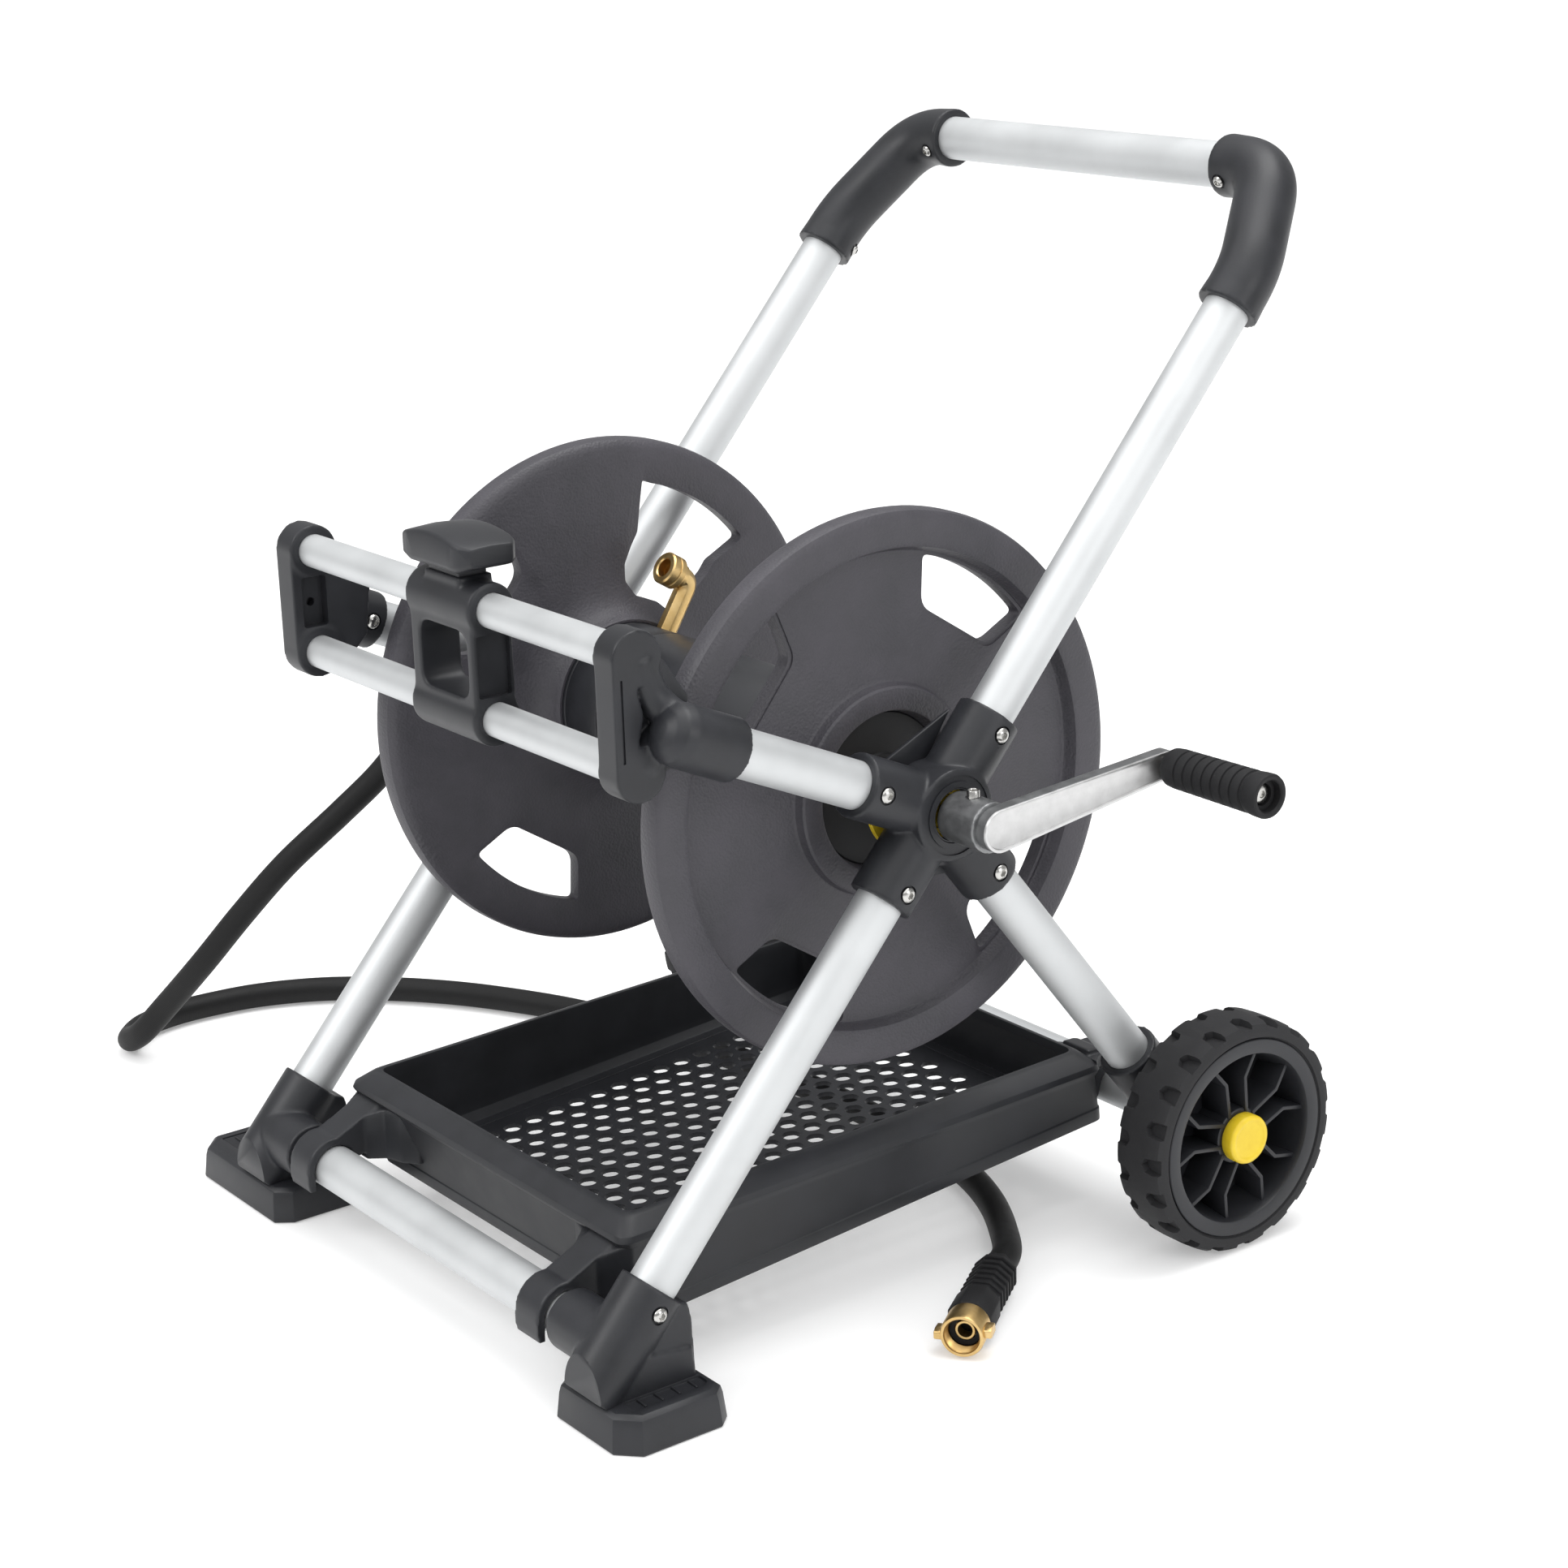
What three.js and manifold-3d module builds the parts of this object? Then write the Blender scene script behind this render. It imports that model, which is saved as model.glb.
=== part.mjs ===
// Garden hose reel cart: reel between two four-way hubs on a tubular frame,
// two wheels behind, two feet in front, sliding hose guide, accessory tray and leader hose.
// Millimetres, +Z up. X runs along the reel axis (crank at +X), -Y is the front (feet, guide).
import * as THREE from 'three';
import { mergeVertices } from 'three/addons/utils/BufferGeometryUtils.js';
import Module from 'manifold-3d';

// ---- sizes that drive the cart -------------------------------------------------------------
const REEL_HEIGHT = 385;        // reel axis above the ground
const SIDE_X = 241.5;           // half the distance between the two side frames
const TUBE_R = 17.5;            // frame tube, 35 mm outside
const TUBE_WALL = 2;
const FIT = 0.35;               // gap all round a tube in its socket
const SOCKET_WALL = 5.65;       // of the moulded sockets
const HANDLE_ANGLE = 48.75;     // degrees above the +Y direction
const ARM_ANGLE = 155.9;        // guide arm
const LEG_ANGLE = 228.4;        // front leg
const HUB_REACH = 80;           // hub centre to socket mouth
const TUBE_START = 36;          // hub centre to tube end inside the socket
const HANDLE_MOUTH = 425;       // hub centre to elbow mouth
const HANDLE_BEND = 461;        // hub centre to first elbow bend
const HANDLE_TOP = 547;         // hub centre to handle bar, along the handle
const BAR_MOUTH_X = 160;        // elbow mouth on the handle bar
const BAR_BEND_X = 205;
const CROSS_HEIGHT = 58.96;     // front cross tube above the ground
const FOOT_SOCKET = 48;         // foot mouth to front cross tube, along the leg
const PAD_REACH = 50.5;         // side frame to the outboard edge of the right foot's pad
const PAD_REACH_LEFT = 100.5;   // and of the left one's
const FOOT_HEIGHT = 28;
const AXLE_Y = 231.4;
const WHEEL_R = 92;
const WHEEL_GAP = 10;           // side frame's sockets to the inner face of the tyre
const WHEEL_WIDTH = 48;
const RIM_R = 79;               // where tyre meets rim
const FLANGE_R = 206.3;
const WINDOW_ANGLES = [57, 140.5, 237, 320.5];   // middles of the flange windows, in degrees
const FLANGE_X0 = 168;          // inner face of a reel flange
const FLANGE_X1 = 192;          // outer face of its rim
const DRUM_R = 62;
const SPINDLE_R = 12.5;
const CRANK_LENGTH = 157;
const CRANK_ANGLE = 5.8;
const CRANK_GAP = 38;           // hub face to the inner face of the crank arm
const GUIDE_R = 12.65;          // guide bar, one inch tube
const GUIDE_REACH = 262.04;     // hub centre to guide bars, along the arm
const GUIDE_UPPER_RISE = 150.3; // reel axis to upper guide bar
const GUIDE_LOWER_RISE = 71;
const GUIDE_SOCKET = 23;        // how far a guide bar goes into its bracket
const SLIDER_X = 6.5;           // where the hose guide stands at rest
const SLIDER_LENGTH = 88;
const TRAY_OVERLAP = 9;         // tray rim past the mouths of the feet, each side
const HOSE_R = 11.25;           // leader hose, 22.5 mm outside
const HOSE_POINTS = [           // leader hose centreline, inlet to coupling
  [-305.3, 0, 385], [-326, 0, 385], [-357, -17, 369], [-384, -40, 336], [-403, -62, 304],
  [-420, -80, 275], [-440, -108, 243], [-470, -150, 197], [-500, -180, 151],
  [-530, -207, 104], [-568, -228, 58], [-596, -243, 26], [-622, -243, 12.5],
  [-645, -220, 11.6], [-655, -183, 11.6], [-654, -142, 11.6], [-645, -98, 11.6],
  [-619, -45, 11.6], [-578, 2, 11.6], [-528, 43, 11.6], [-469, 78, 11.6],
  [-407, 106, 11.6], [-320, 130, 11.6], [-220, 148, 11.6], [-110, 158, 11.6],
  [0, 158, 11.6], [70, 150, 11.6], [116, 138, 11.6], [158, 120, 12], [202, 93, 14],
  [239.4, 64, 18.6], [255.3, 42.3, 18.6],
];
const SLEEVE_LENGTH = 91;       // grip sleeve, straight on from the hose end
const COUPLING_LENGTH = 23;

// ---- helpers -------------------------------------------------------------------------------
const wasm = await Module();
wasm.setup();

const rad = (degrees) => (degrees * Math.PI) / 180;
const vec = (p) => (Array.isArray(p) ? new THREE.Vector3(...p) : p.clone());
const along = (angle, s, x = SIDE_X) =>
  new THREE.Vector3(x, s * Math.cos(rad(angle)), REEL_HEIGHT + s * Math.sin(rad(angle)));

function solid(geometry) {
  const bare = (geometry.index ? geometry.toNonIndexed() : geometry).clone();
  for (const name of Object.keys(bare.attributes)) if (name !== 'position') bare.deleteAttribute(name);
  const merged = mergeVertices(bare, 1e-4);
  const index = merged.index.array;
  const tris = [];
  for (let i = 0; i < index.length; i += 3) {
    const [a, b, c] = [index[i], index[i + 1], index[i + 2]];
    if (a !== b && b !== c && c !== a) tris.push(a, b, c);
  }
  const build = (list) => new wasm.Manifold(new wasm.Mesh({
    numProp: 3,
    vertProperties: new Float32Array(merged.attributes.position.array),
    triVerts: new Uint32Array(list),
  }));
  const made = build(tris);
  if (made.volume() > 0) return made;
  const turned = [];
  for (let i = 0; i < tris.length; i += 3) turned.push(tris[i], tris[i + 2], tris[i + 1]);
  return build(turned);
}

const join = (...parts) => parts.reduce((a, b) => a.add(b));
const cut = (part, ...tools) => tools.reduce((a, b) => a.subtract(b), part);

// cylinder or cone between two points; the direction is made canonical so facets line up
function rod(from, to, r0, r1 = r0, segments = 18) {
  let [a, b, ra, rb] = [vec(from), vec(to), r0, r1];
  const step = b.clone().sub(a);
  const lead = [step.x, step.y, step.z].find((v) => Math.abs(v) > 1e-6);
  if (lead < 0) [a, b, ra, rb] = [b, a, rb, ra];
  const axis = b.clone().sub(a);
  const body = new THREE.CylinderGeometry(rb, ra, axis.length(), segments);
  const turn = new THREE.Quaternion().setFromUnitVectors(new THREE.Vector3(0, 1, 0),
    axis.clone().normalize());
  body.applyQuaternion(turn);
  const middle = a.add(b).multiplyScalar(0.5);
  body.translate(middle.x, middle.y, middle.z);
  return solid(body);
}

const pipe = (a, b, outer, wall) => {
  const [p, q] = [vec(a), vec(b)];
  const out = q.clone().sub(p).normalize();
  return cut(rod(p, q, outer), rod(p.clone().sub(out), q.clone().add(out), outer - wall));
};

// outline in (y, z) pushed along X
function prismX(outline, x0, x1) {
  const shape = new THREE.Shape(outline.map(([y, z]) => new THREE.Vector2(y, z)));
  const body = new THREE.ExtrudeGeometry(shape, { depth: x1 - x0, bevelEnabled: false });
  body.applyMatrix4(new THREE.Matrix4().makeBasis(
    new THREE.Vector3(0, 1, 0), new THREE.Vector3(0, 0, 1), new THREE.Vector3(1, 0, 0)));
  body.translate(x0, 0, 0);
  return solid(body);
}

// outline in (x, y) pushed along Z
function prismZ(outline, z0, z1) {
  const shape = new THREE.Shape(outline.map(([x, y]) => new THREE.Vector2(x, y)));
  const body = new THREE.ExtrudeGeometry(shape, { depth: z1 - z0, bevelEnabled: false });
  body.translate(0, 0, z0);
  return solid(body);
}

function box(x0, x1, y0, y1, z0, z1) {
  const body = new THREE.BoxGeometry(x1 - x0, y1 - y0, z1 - z0);
  body.translate((x0 + x1) / 2, (y0 + y1) / 2, (z0 + z1) / 2);
  return solid(body);
}

// closed profile of (x, radius) turned round an axis parallel to X
function turnX(profile, y, z, segments = 32) {
  const points = [...profile, profile[0]].map(([x, r]) => new THREE.Vector2(r, x));
  const body = new THREE.LatheGeometry(points, segments);
  body.rotateZ(-Math.PI / 2);
  body.translate(0, y, z);
  return solid(body);
}

// round bar swept along a curve through the points
function sweep(points, r, sides, steps) {
  const path = new THREE.CatmullRomCurve3(points.map(vec), false, 'centripetal');
  const ring = [];
  for (let i = 0; i < sides; i++) {
    const a = (2 * Math.PI * i) / sides;
    ring.push(new THREE.Vector2(r * Math.cos(a), r * Math.sin(a)));
  }
  return solid(new THREE.ExtrudeGeometry(new THREE.Shape(ring), { steps, extrudePath: path,
    bevelEnabled: false }));
}

// polyline with its corners replaced by curves, ready for sweep()
function softened(corners, reach) {
  const out = [corners[0]];
  for (let i = 1; i < corners.length - 1; i++) {
    const [a, b, c] = [corners[i - 1], corners[i], corners[i + 1]];
    const p = b.clone().add(a.clone().sub(b).setLength(reach[i - 1]));
    const q = b.clone().add(c.clone().sub(b).setLength(reach[i - 1]));
    out.push(...new THREE.QuadraticBezierCurve3(p, b, q).getPoints(4));
  }
  out.push(corners[corners.length - 1]);
  return out;
}

// eight corners: four below, four above, both turning the same way
function block(below, above) {
  const p = [...below, ...above];
  const faces = [[0, 3, 2, 1], [4, 5, 6, 7], [0, 1, 5, 4], [1, 2, 6, 5], [2, 3, 7, 6], [3, 0, 4, 7]];
  const list = [];
  for (const [a, b, c, d] of faces) for (const k of [a, b, c, a, c, d]) list.push(...p[k]);
  const body = new THREE.BufferGeometry();
  body.setAttribute('position', new THREE.Float32BufferAttribute(list, 3));
  return solid(body);
}

// ---- materials and the list of pieces ------------------------------------------------------
const LOOKS = {
  moulded: ['#3f3f44', 0.62, 0], tube: ['#c6c9cd', 0.34, 0.9], rubber: ['#2a2a2c', 0.85, 0],
  yellow: ['#e6d047', 0.45, 0], brass: ['#c9a55c', 0.3, 0.95], cast: ['#d4d5d6', 0.3, 0.9],
  steel: ['#a9adb1', 0.3, 0.95], soft: ['#1d1d1f', 0.8, 0],
};
const cart = [];
const cords = [];

function asMesh(name, body, look) {
  const { vertProperties, triVerts, numProp } = body.getMesh();
  const position = new Float32Array((vertProperties.length / numProp) * 3);
  for (let i = 0; i < position.length / 3; i++) {
    for (let k = 0; k < 3; k++) position[3 * i + k] = vertProperties[numProp * i + k];
  }
  const geometry = new THREE.BufferGeometry();
  geometry.setAttribute('position', new THREE.BufferAttribute(position, 3));
  geometry.setIndex(new THREE.BufferAttribute(new Uint32Array(triVerts), 1));
  geometry.computeVertexNormals();
  const [color, roughness, metalness] = LOOKS[look];
  const mesh = new THREE.Mesh(geometry, new THREE.MeshStandardMaterial({ color, roughness, metalness }));
  mesh.name = name;
  return mesh;
}

const add = (name, body, look) => cart.push(asMesh(name, body, look));

// a piece of the right side frame and its mirror on the left
function addPair(name, body, look, leftBody = body) {
  add(`${name}_right`, body, look);
  const twin = asMesh(`${name}_left`, leftBody, look);
  twin.geometry.scale(-1, 1, 1);
  const index = twin.geometry.index.array;
  for (let i = 0; i < index.length; i += 3) [index[i + 1], index[i + 2]] = [index[i + 2], index[i + 1]];
  twin.geometry.computeVertexNormals();
  cart.push(twin);
}

// ---- side frames ---------------------------------------------------------------------------
const SOCKET_R = TUBE_R + FIT + SOCKET_WALL;
const CROSS_AT = (CROSS_HEIGHT - REEL_HEIGHT) / Math.sin(rad(LEG_ANGLE));
const HUB_FACE_X = SIDE_X + SOCKET_R;
const HUB_BACK_X = SIDE_X - SOCKET_R - 3;
const WHEEL_X0 = SIDE_X + SOCKET_R + WHEEL_GAP;
const WHEEL_X1 = WHEEL_X0 + WHEEL_WIDTH;
const CRANK_X = HUB_FACE_X + CRANK_GAP;
const GUIDE_Y = along(ARM_ANGLE, GUIDE_REACH).y;
const GUIDE_UPPER_Z = REEL_HEIGHT + GUIDE_UPPER_RISE;
const GUIDE_LOWER_Z = REEL_HEIGHT + GUIDE_LOWER_RISE;
const GUIDE_END_X = SIDE_X - 13.5;
const GUIDE_MOUTH_X = GUIDE_END_X - GUIDE_SOCKET;
const AXLE_Z = WHEEL_R;
const REAR_ANGLE = (Math.atan2(AXLE_Z - REEL_HEIGHT, AXLE_Y) * 180) / Math.PI;
const AXLE_AT = Math.hypot(AXLE_Z - REEL_HEIGHT, AXLE_Y);
const BORE_R = TUBE_R + FIT;
const SOCKET_ANGLES = [HANDLE_ANGLE, ARM_ANGLE, LEG_ANGLE, REAR_ANGLE + 360];

function fourWayHub() {
  const boss = rod([HUB_BACK_X, 0, REEL_HEIGHT], [HUB_FACE_X, 0, REEL_HEIGHT], 33.5);
  const sockets = SOCKET_ANGLES.map((a) => rod(along(a, 0), along(a, HUB_REACH), SOCKET_R));
  const webs = SOCKET_ANGLES.map((a, i) => {
    const next = SOCKET_ANGLES[(i + 1) % 4] + (i === 3 ? 360 : 0);
    const reach = next - a < 95 ? 66 : 46;
    const corner = (angle, s) => { const p = along(angle, s); return [p.y, p.z]; };
    return prismX([corner(a, 0), corner(a, reach), corner(next, reach)], SIDE_X - 6, SIDE_X + 6);
  });
  const bores = SOCKET_ANGLES.map((a) => rod(along(a, TUBE_START - 0.3), along(a, HUB_REACH + 5), BORE_R));
  const through = rod([SIDE_X - 40, 0, REEL_HEIGHT], [SIDE_X + 40, 0, REEL_HEIGHT], 20.35);
  return cut(join(boss, ...sockets, ...webs), ...bores, through);
}

const LEG_END = CROSS_AT - 6;
const FOOT_MOUTH = CROSS_AT - FOOT_SOCKET;
const CROSS = along(LEG_ANGLE, CROSS_AT);
const BAR = along(HANDLE_ANGLE, HANDLE_TOP);
const CROSS_END_X = SIDE_X - TUBE_R - 10;
const CROSS_MOUTH_X = SIDE_X - 55.5;
const BAR_END_X = BAR_MOUTH_X + 29.7;
const ARM_MOUTH = 190;
const ARM_END = 235;
const REAR_MOUTH = 296;
const REAR_END = 340;
const AXLE_TUBE_END_X = SIDE_X - 15.5;

function elbow() {
  const mouth = along(HANDLE_ANGLE, HANDLE_MOUTH);
  const path = softened([mouth, along(HANDLE_ANGLE, HANDLE_BEND),
    new THREE.Vector3(BAR_BEND_X, BAR.y, BAR.z), new THREE.Vector3(BAR_MOUTH_X, BAR.y, BAR.z)], [16, 22]);
  return cut(sweep(path, SOCKET_R, 16, 14),
    rod(along(HANDLE_ANGLE, HANDLE_MOUTH - 5), along(HANDLE_ANGLE, HANDLE_MOUTH + 28.3), BORE_R),
    rod([BAR_MOUTH_X - 5, BAR.y, BAR.z], [BAR_END_X + 0.3, BAR.y, BAR.z], BORE_R));
}

// the left foot has the wider step, away from the crank
function foot(reach) {
  const outer = SIDE_X + reach;
  const [front, back] = [CROSS.y - 29.53, CROSS.y + 61.47];
  const pad = prismZ([[SIDE_X - 44.5, front + 13], [SIDE_X - 34.5, front], [outer - 16, front], [outer,
    front + 15],
    [outer, back - 10], [outer - 9, back], [SIDE_X - 36.5, back], [SIDE_X - 44.5, back - 8]], 0,
    FOOT_HEIGHT);
  const socket = rod(along(LEG_ANGLE, FOOT_MOUTH), along(LEG_ANGLE, CROSS_AT + 38), SOCKET_R);
  const heel = prismX([[back - 12, CROSS.z + 20], [back - 7, CROSS.z + 11], [back - 6, 20], [front + 5, 20],
    [front + 1, 34], [CROSS.y - 0.5, CROSS.z + 3]], SIDE_X - 20, SIDE_X + 20);
  const side = rod([CROSS_MOUTH_X, CROSS.y, CROSS.z], [SIDE_X - 6, CROSS.y, CROSS.z], SOCKET_R);
  return cut(join(pad, socket, heel, side),
    rod(along(LEG_ANGLE, FOOT_MOUTH - 5), along(LEG_ANGLE, LEG_END + 0.3), BORE_R),
    rod([CROSS_MOUTH_X - 5, CROSS.y, CROSS.z], [CROSS_END_X + 0.3, CROSS.y, CROSS.z], BORE_R),
    box(SIDE_X - 90, outer + 38, front - 40, front - 0.5, -5, CROSS.z + 30));
}

function axleConnector() {
  const sleeve = rod(along(REAR_ANGLE, REAR_MOUTH), along(REAR_ANGLE, AXLE_AT), SOCKET_R);
  const boss = rod([SIDE_X - SOCKET_R - 4, AXLE_Y, AXLE_Z], [SIDE_X + SOCKET_R + 3, AXLE_Y, AXLE_Z],
    SOCKET_R + 0.5);
  return cut(join(sleeve, boss),
    rod(along(REAR_ANGLE, REAR_MOUTH - 5), along(REAR_ANGLE, REAR_END + 0.3), BORE_R),
    rod([SIDE_X - SOCKET_R - 8, AXLE_Y, AXLE_Z], [AXLE_TUBE_END_X + 0.3, AXLE_Y, AXLE_Z], BORE_R),
    rod([SIDE_X - SOCKET_R - 8, AXLE_Y, AXLE_Z], [WHEEL_X0, AXLE_Y, AXLE_Z], 6.4, 6.4, 16));
}

function guideBracket() {
  const ends = [GUIDE_UPPER_Z, GUIDE_LOWER_Z].map((z) =>
    rod([GUIDE_MOUTH_X, GUIDE_Y, z], [SIDE_X - 9.5, GUIDE_Y, z], GUIDE_R + 7.35));
  const plate = box(SIDE_X - 34.5, SIDE_X - 9.5, GUIDE_Y - 20, GUIDE_Y + 14, GUIDE_LOWER_Z, GUIDE_UPPER_Z);
  const collar = rod(along(ARM_ANGLE, ARM_MOUTH), along(ARM_ANGLE, GUIDE_REACH), SOCKET_R - 0.5);
  const web = prismX([[GUIDE_Y - 18, GUIDE_LOWER_Z + 6], [GUIDE_Y + 16, GUIDE_LOWER_Z - 4],
    [GUIDE_Y + 43, GUIDE_LOWER_Z - 1], [GUIDE_Y + 43, GUIDE_LOWER_Z + 36], [GUIDE_Y + 10,
    GUIDE_UPPER_Z + 10],
    [GUIDE_Y - 18, GUIDE_UPPER_Z]], SIDE_X - 19.5, SIDE_X - 1.5);
  const bores = [GUIDE_UPPER_Z, GUIDE_LOWER_Z].map((z) =>
    rod([GUIDE_MOUTH_X - 5, GUIDE_Y, z], [GUIDE_END_X + 0.3, GUIDE_Y, z], GUIDE_R + 0.3));
  return cut(join(...ends, plate, collar, web), ...bores,
    rod(along(ARM_ANGLE, ARM_MOUTH - 5), along(ARM_ANGLE, ARM_END + 0.3), BORE_R));
}

addPair('hub', fourWayHub(), 'moulded');
addPair('handle_tube', pipe(along(HANDLE_ANGLE, TUBE_START), along(HANDLE_ANGLE, HANDLE_MOUTH + 28), TUBE_R,
  TUBE_WALL), 'tube');
addPair('front_leg', pipe(along(LEG_ANGLE, TUBE_START), along(LEG_ANGLE, LEG_END), TUBE_R, TUBE_WALL),
  'tube');
addPair('rear_leg', pipe(along(REAR_ANGLE, TUBE_START), along(REAR_ANGLE, REAR_END), TUBE_R,
  TUBE_WALL), 'tube');
addPair('guide_arm', pipe(along(ARM_ANGLE, TUBE_START), along(ARM_ANGLE, ARM_END), TUBE_R, TUBE_WALL),
  'tube');
addPair('elbow', elbow(), 'moulded');
addPair('foot', foot(PAD_REACH), 'moulded', foot(PAD_REACH_LEFT));
addPair('axle_connector', axleConnector(), 'moulded');
addPair('guide_bracket', guideBracket(), 'moulded');

// ---- tubes that join the two sides ---------------------------------------------------------
add('handle_bar', pipe([-BAR_END_X, BAR.y, BAR.z], [BAR_END_X, BAR.y, BAR.z], TUBE_R, TUBE_WALL), 'tube');
add('front_cross_tube', pipe([-CROSS_END_X, CROSS.y, CROSS.z], [CROSS_END_X, CROSS.y, CROSS.z], TUBE_R,
  TUBE_WALL), 'tube');
add('axle_tube', pipe([-AXLE_TUBE_END_X, AXLE_Y, AXLE_Z], [AXLE_TUBE_END_X, AXLE_Y, AXLE_Z], TUBE_R,
  TUBE_WALL),
  'tube');
add('axle_rod', rod([10 - WHEEL_X1, AXLE_Y, AXLE_Z], [WHEEL_X1 - 10, AXLE_Y, AXLE_Z], 6, 6, 16), 'steel');
for (const [name, z] of [['guide_bar_upper', GUIDE_UPPER_Z], ['guide_bar_lower', GUIDE_LOWER_Z]]) {
  add(name, pipe([-GUIDE_END_X, GUIDE_Y, z], [GUIDE_END_X, GUIDE_Y, z], GUIDE_R, TUBE_WALL), 'tube');
}

// ---- wheels --------------------------------------------------------------------------------
function rim() {
  const [x0, x1] = [WHEEL_X0, WHEEL_X1];
  const ring = turnX([[x0 + 3, RIM_R - 7], [x0 + 3, RIM_R - 1.3], [x1 - 2, RIM_R - 1.3], [x1 - 1,
    RIM_R - 3],
    [x1 - 1, RIM_R - 12], [x1 - 5, RIM_R - 13], [x1 - 11, RIM_R - 9], [x0 + 9, RIM_R - 7]], AXLE_Y,
    AXLE_Z, 30);
  const disc = turnX([[x0 + 9, 20], [x0 + 9, RIM_R - 6], [x0 + 13, RIM_R - 6], [x0 + 13, 20]], AXLE_Y,
    AXLE_Z, 30);
  const hub = turnX([[x0 - 6.6, 6.4], [x0 - 6.6, 17], [x0 + 7, 22], [x1 - 8, 22], [x1 - 8, 6.4]],
    AXLE_Y, AXLE_Z, 18);
  const ribs = [];
  for (let k = 0; k < 5; k++) {
    for (const side of [-1, 1]) {
      const spine = [[19, 11.5], [RIM_R - 31, 24], [RIM_R - 7, 20]].map(([r, a]) => {
        const t = rad(54 + 72 * k + side * a);
        return new THREE.Vector2(AXLE_Y + r * Math.cos(t), AXLE_Z + r * Math.sin(t));
      });
      for (let i = 0; i < 2; i++) {
        const n = spine[i + 1].clone().sub(spine[i]).normalize();
        const w = new THREE.Vector2(-n.y, n.x).multiplyScalar(1.7);
        const [p, q] = [spine[i].clone(), spine[i + 1].clone().addScaledVector(n, i ? 0 : 0.7)];
        ribs.push(prismX([[p.x + w.x, p.y + w.y], [p.x - w.x, p.y - w.y], [q.x - w.x, q.y - w.y],
          [q.x + w.x, q.y + w.y]], x0 + 11, x1 - 9));
      }
    }
  }
  return join(ring, disc, hub, ...ribs);
}

addPair('tyre', turnX([[WHEEL_X0 + 3, RIM_R - 1], [WHEEL_X0, RIM_R + 5], [WHEEL_X0 + 5, WHEEL_R - 3],
  [WHEEL_X0 + 12, WHEEL_R], [WHEEL_X1 - 12, WHEEL_R], [WHEEL_X1 - 4, WHEEL_R - 3], [WHEEL_X1, RIM_R + 5],
  [WHEEL_X1 - 1, RIM_R - 1]], AXLE_Y, AXLE_Z, 30), 'rubber');
addPair('wheel_rim', rim(), 'moulded');
addPair('wheel_cap', turnX([[WHEEL_X1 - 7.6, 0], [WHEEL_X1 - 7.6, 17.5], [WHEEL_X1 - 5, 19.5],
  [WHEEL_X1 + 1, 19.5],
  [WHEEL_X1 + 4, 15], [WHEEL_X1 + 4.5, 0]], AXLE_Y, AXLE_Z, 18), 'yellow');

// ---- reel ----------------------------------------------------------------------------------
// four windows; the left flange's first one runs in to the drum, so that a hose reaches the outlet
function flange(deep) {
  const [x0, x1, r] = [FLANGE_X0, FLANGE_X1, FLANGE_R];
  const disc = turnX([[x0 - 2, SPINDLE_R + 0.3], [x0 - 2, DRUM_R + 0.4], [x0 - 22, DRUM_R + 0.4],
    [x0 - 22, 65],
    [x0 - 14, 69], [x0 - 6, 78], [x0, 94], [x0, r - 8], [x0 + 8, r], [x1 - 6, r], [x1, r - 6], [x1, r - 26],
    [x1 - 10, r - 31],
    [x1 - 10, 80], [x1 - 2, 74], [x1 - 2, 59], [x1 - 15, 56], [x1 - 13, SPINDLE_R + 0.3]], 0,
    REEL_HEIGHT, 36);
  const windows = [];
  for (const c of WINDOW_ANGLES) {
    const polar = (radius, a) => [radius * Math.cos(rad(c + a)),
    REEL_HEIGHT + radius * Math.sin(rad(c + a))];
    windows.push(prismX([polar(132, -14.5), polar(140, -17.5), polar(165, -18), polar(171, -15),
      polar(172, 0), polar(171, 15), polar(165, 18), polar(140, 17.5), polar(132, 14.5)], x0 - 20, x1 + 5));
  }
  if (deep) {
    windows.push(prismX([[38, 168], [34, 147], [31, 128], [23, 117], [17, 103], [18, 90], [26, 78],
    [45, 70],
      [64, 52], [98, 83], [119, 110]].map(([y, z]) => [y, REEL_HEIGHT + z]), x0 - 20, x1 + 5));
  }
  return cut(disc, ...windows);
}

const OUTLET_X = 33 - FLANGE_X0;
const OUTLET_ANGLE = 58;
const OUTLET_CORNER = along(OUTLET_ANGLE, 108, OUTLET_X);
const OUTLET_DIR = new THREE.Vector3(0, -Math.sin(rad(OUTLET_ANGLE)), Math.cos(rad(OUTLET_ANGLE)));
const outletAt = (s) => OUTLET_CORNER.clone().addScaledVector(OUTLET_DIR, s);

addPair('reel_flange', flange(false), 'moulded', flange(true));
add('drum', cut(rod([2.4 - FLANGE_X0, 0, REEL_HEIGHT], [FLANGE_X0 - 2.4, 0, REEL_HEIGHT], DRUM_R,
  DRUM_R, 32),
  rod([-FLANGE_X0, 0, REEL_HEIGHT], [FLANGE_X0, 0, REEL_HEIGHT], DRUM_R - 3.5, DRUM_R - 3.5, 32),
  rod(along(OUTLET_ANGLE, 20, OUTLET_X), along(OUTLET_ANGLE, 90, OUTLET_X), 8.6, 8.6, 20)), 'moulded');
add('spindle', pipe([-HUB_FACE_X - 1, 0, REEL_HEIGHT], [CRANK_X - 3.4, 0, REEL_HEIGHT], SPINDLE_R, 3),
  'steel');
const outletBall = new THREE.SphereGeometry(9.6, 14, 8);
outletBall.translate(OUTLET_CORNER.x, OUTLET_CORNER.y, OUTLET_CORNER.z);
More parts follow.
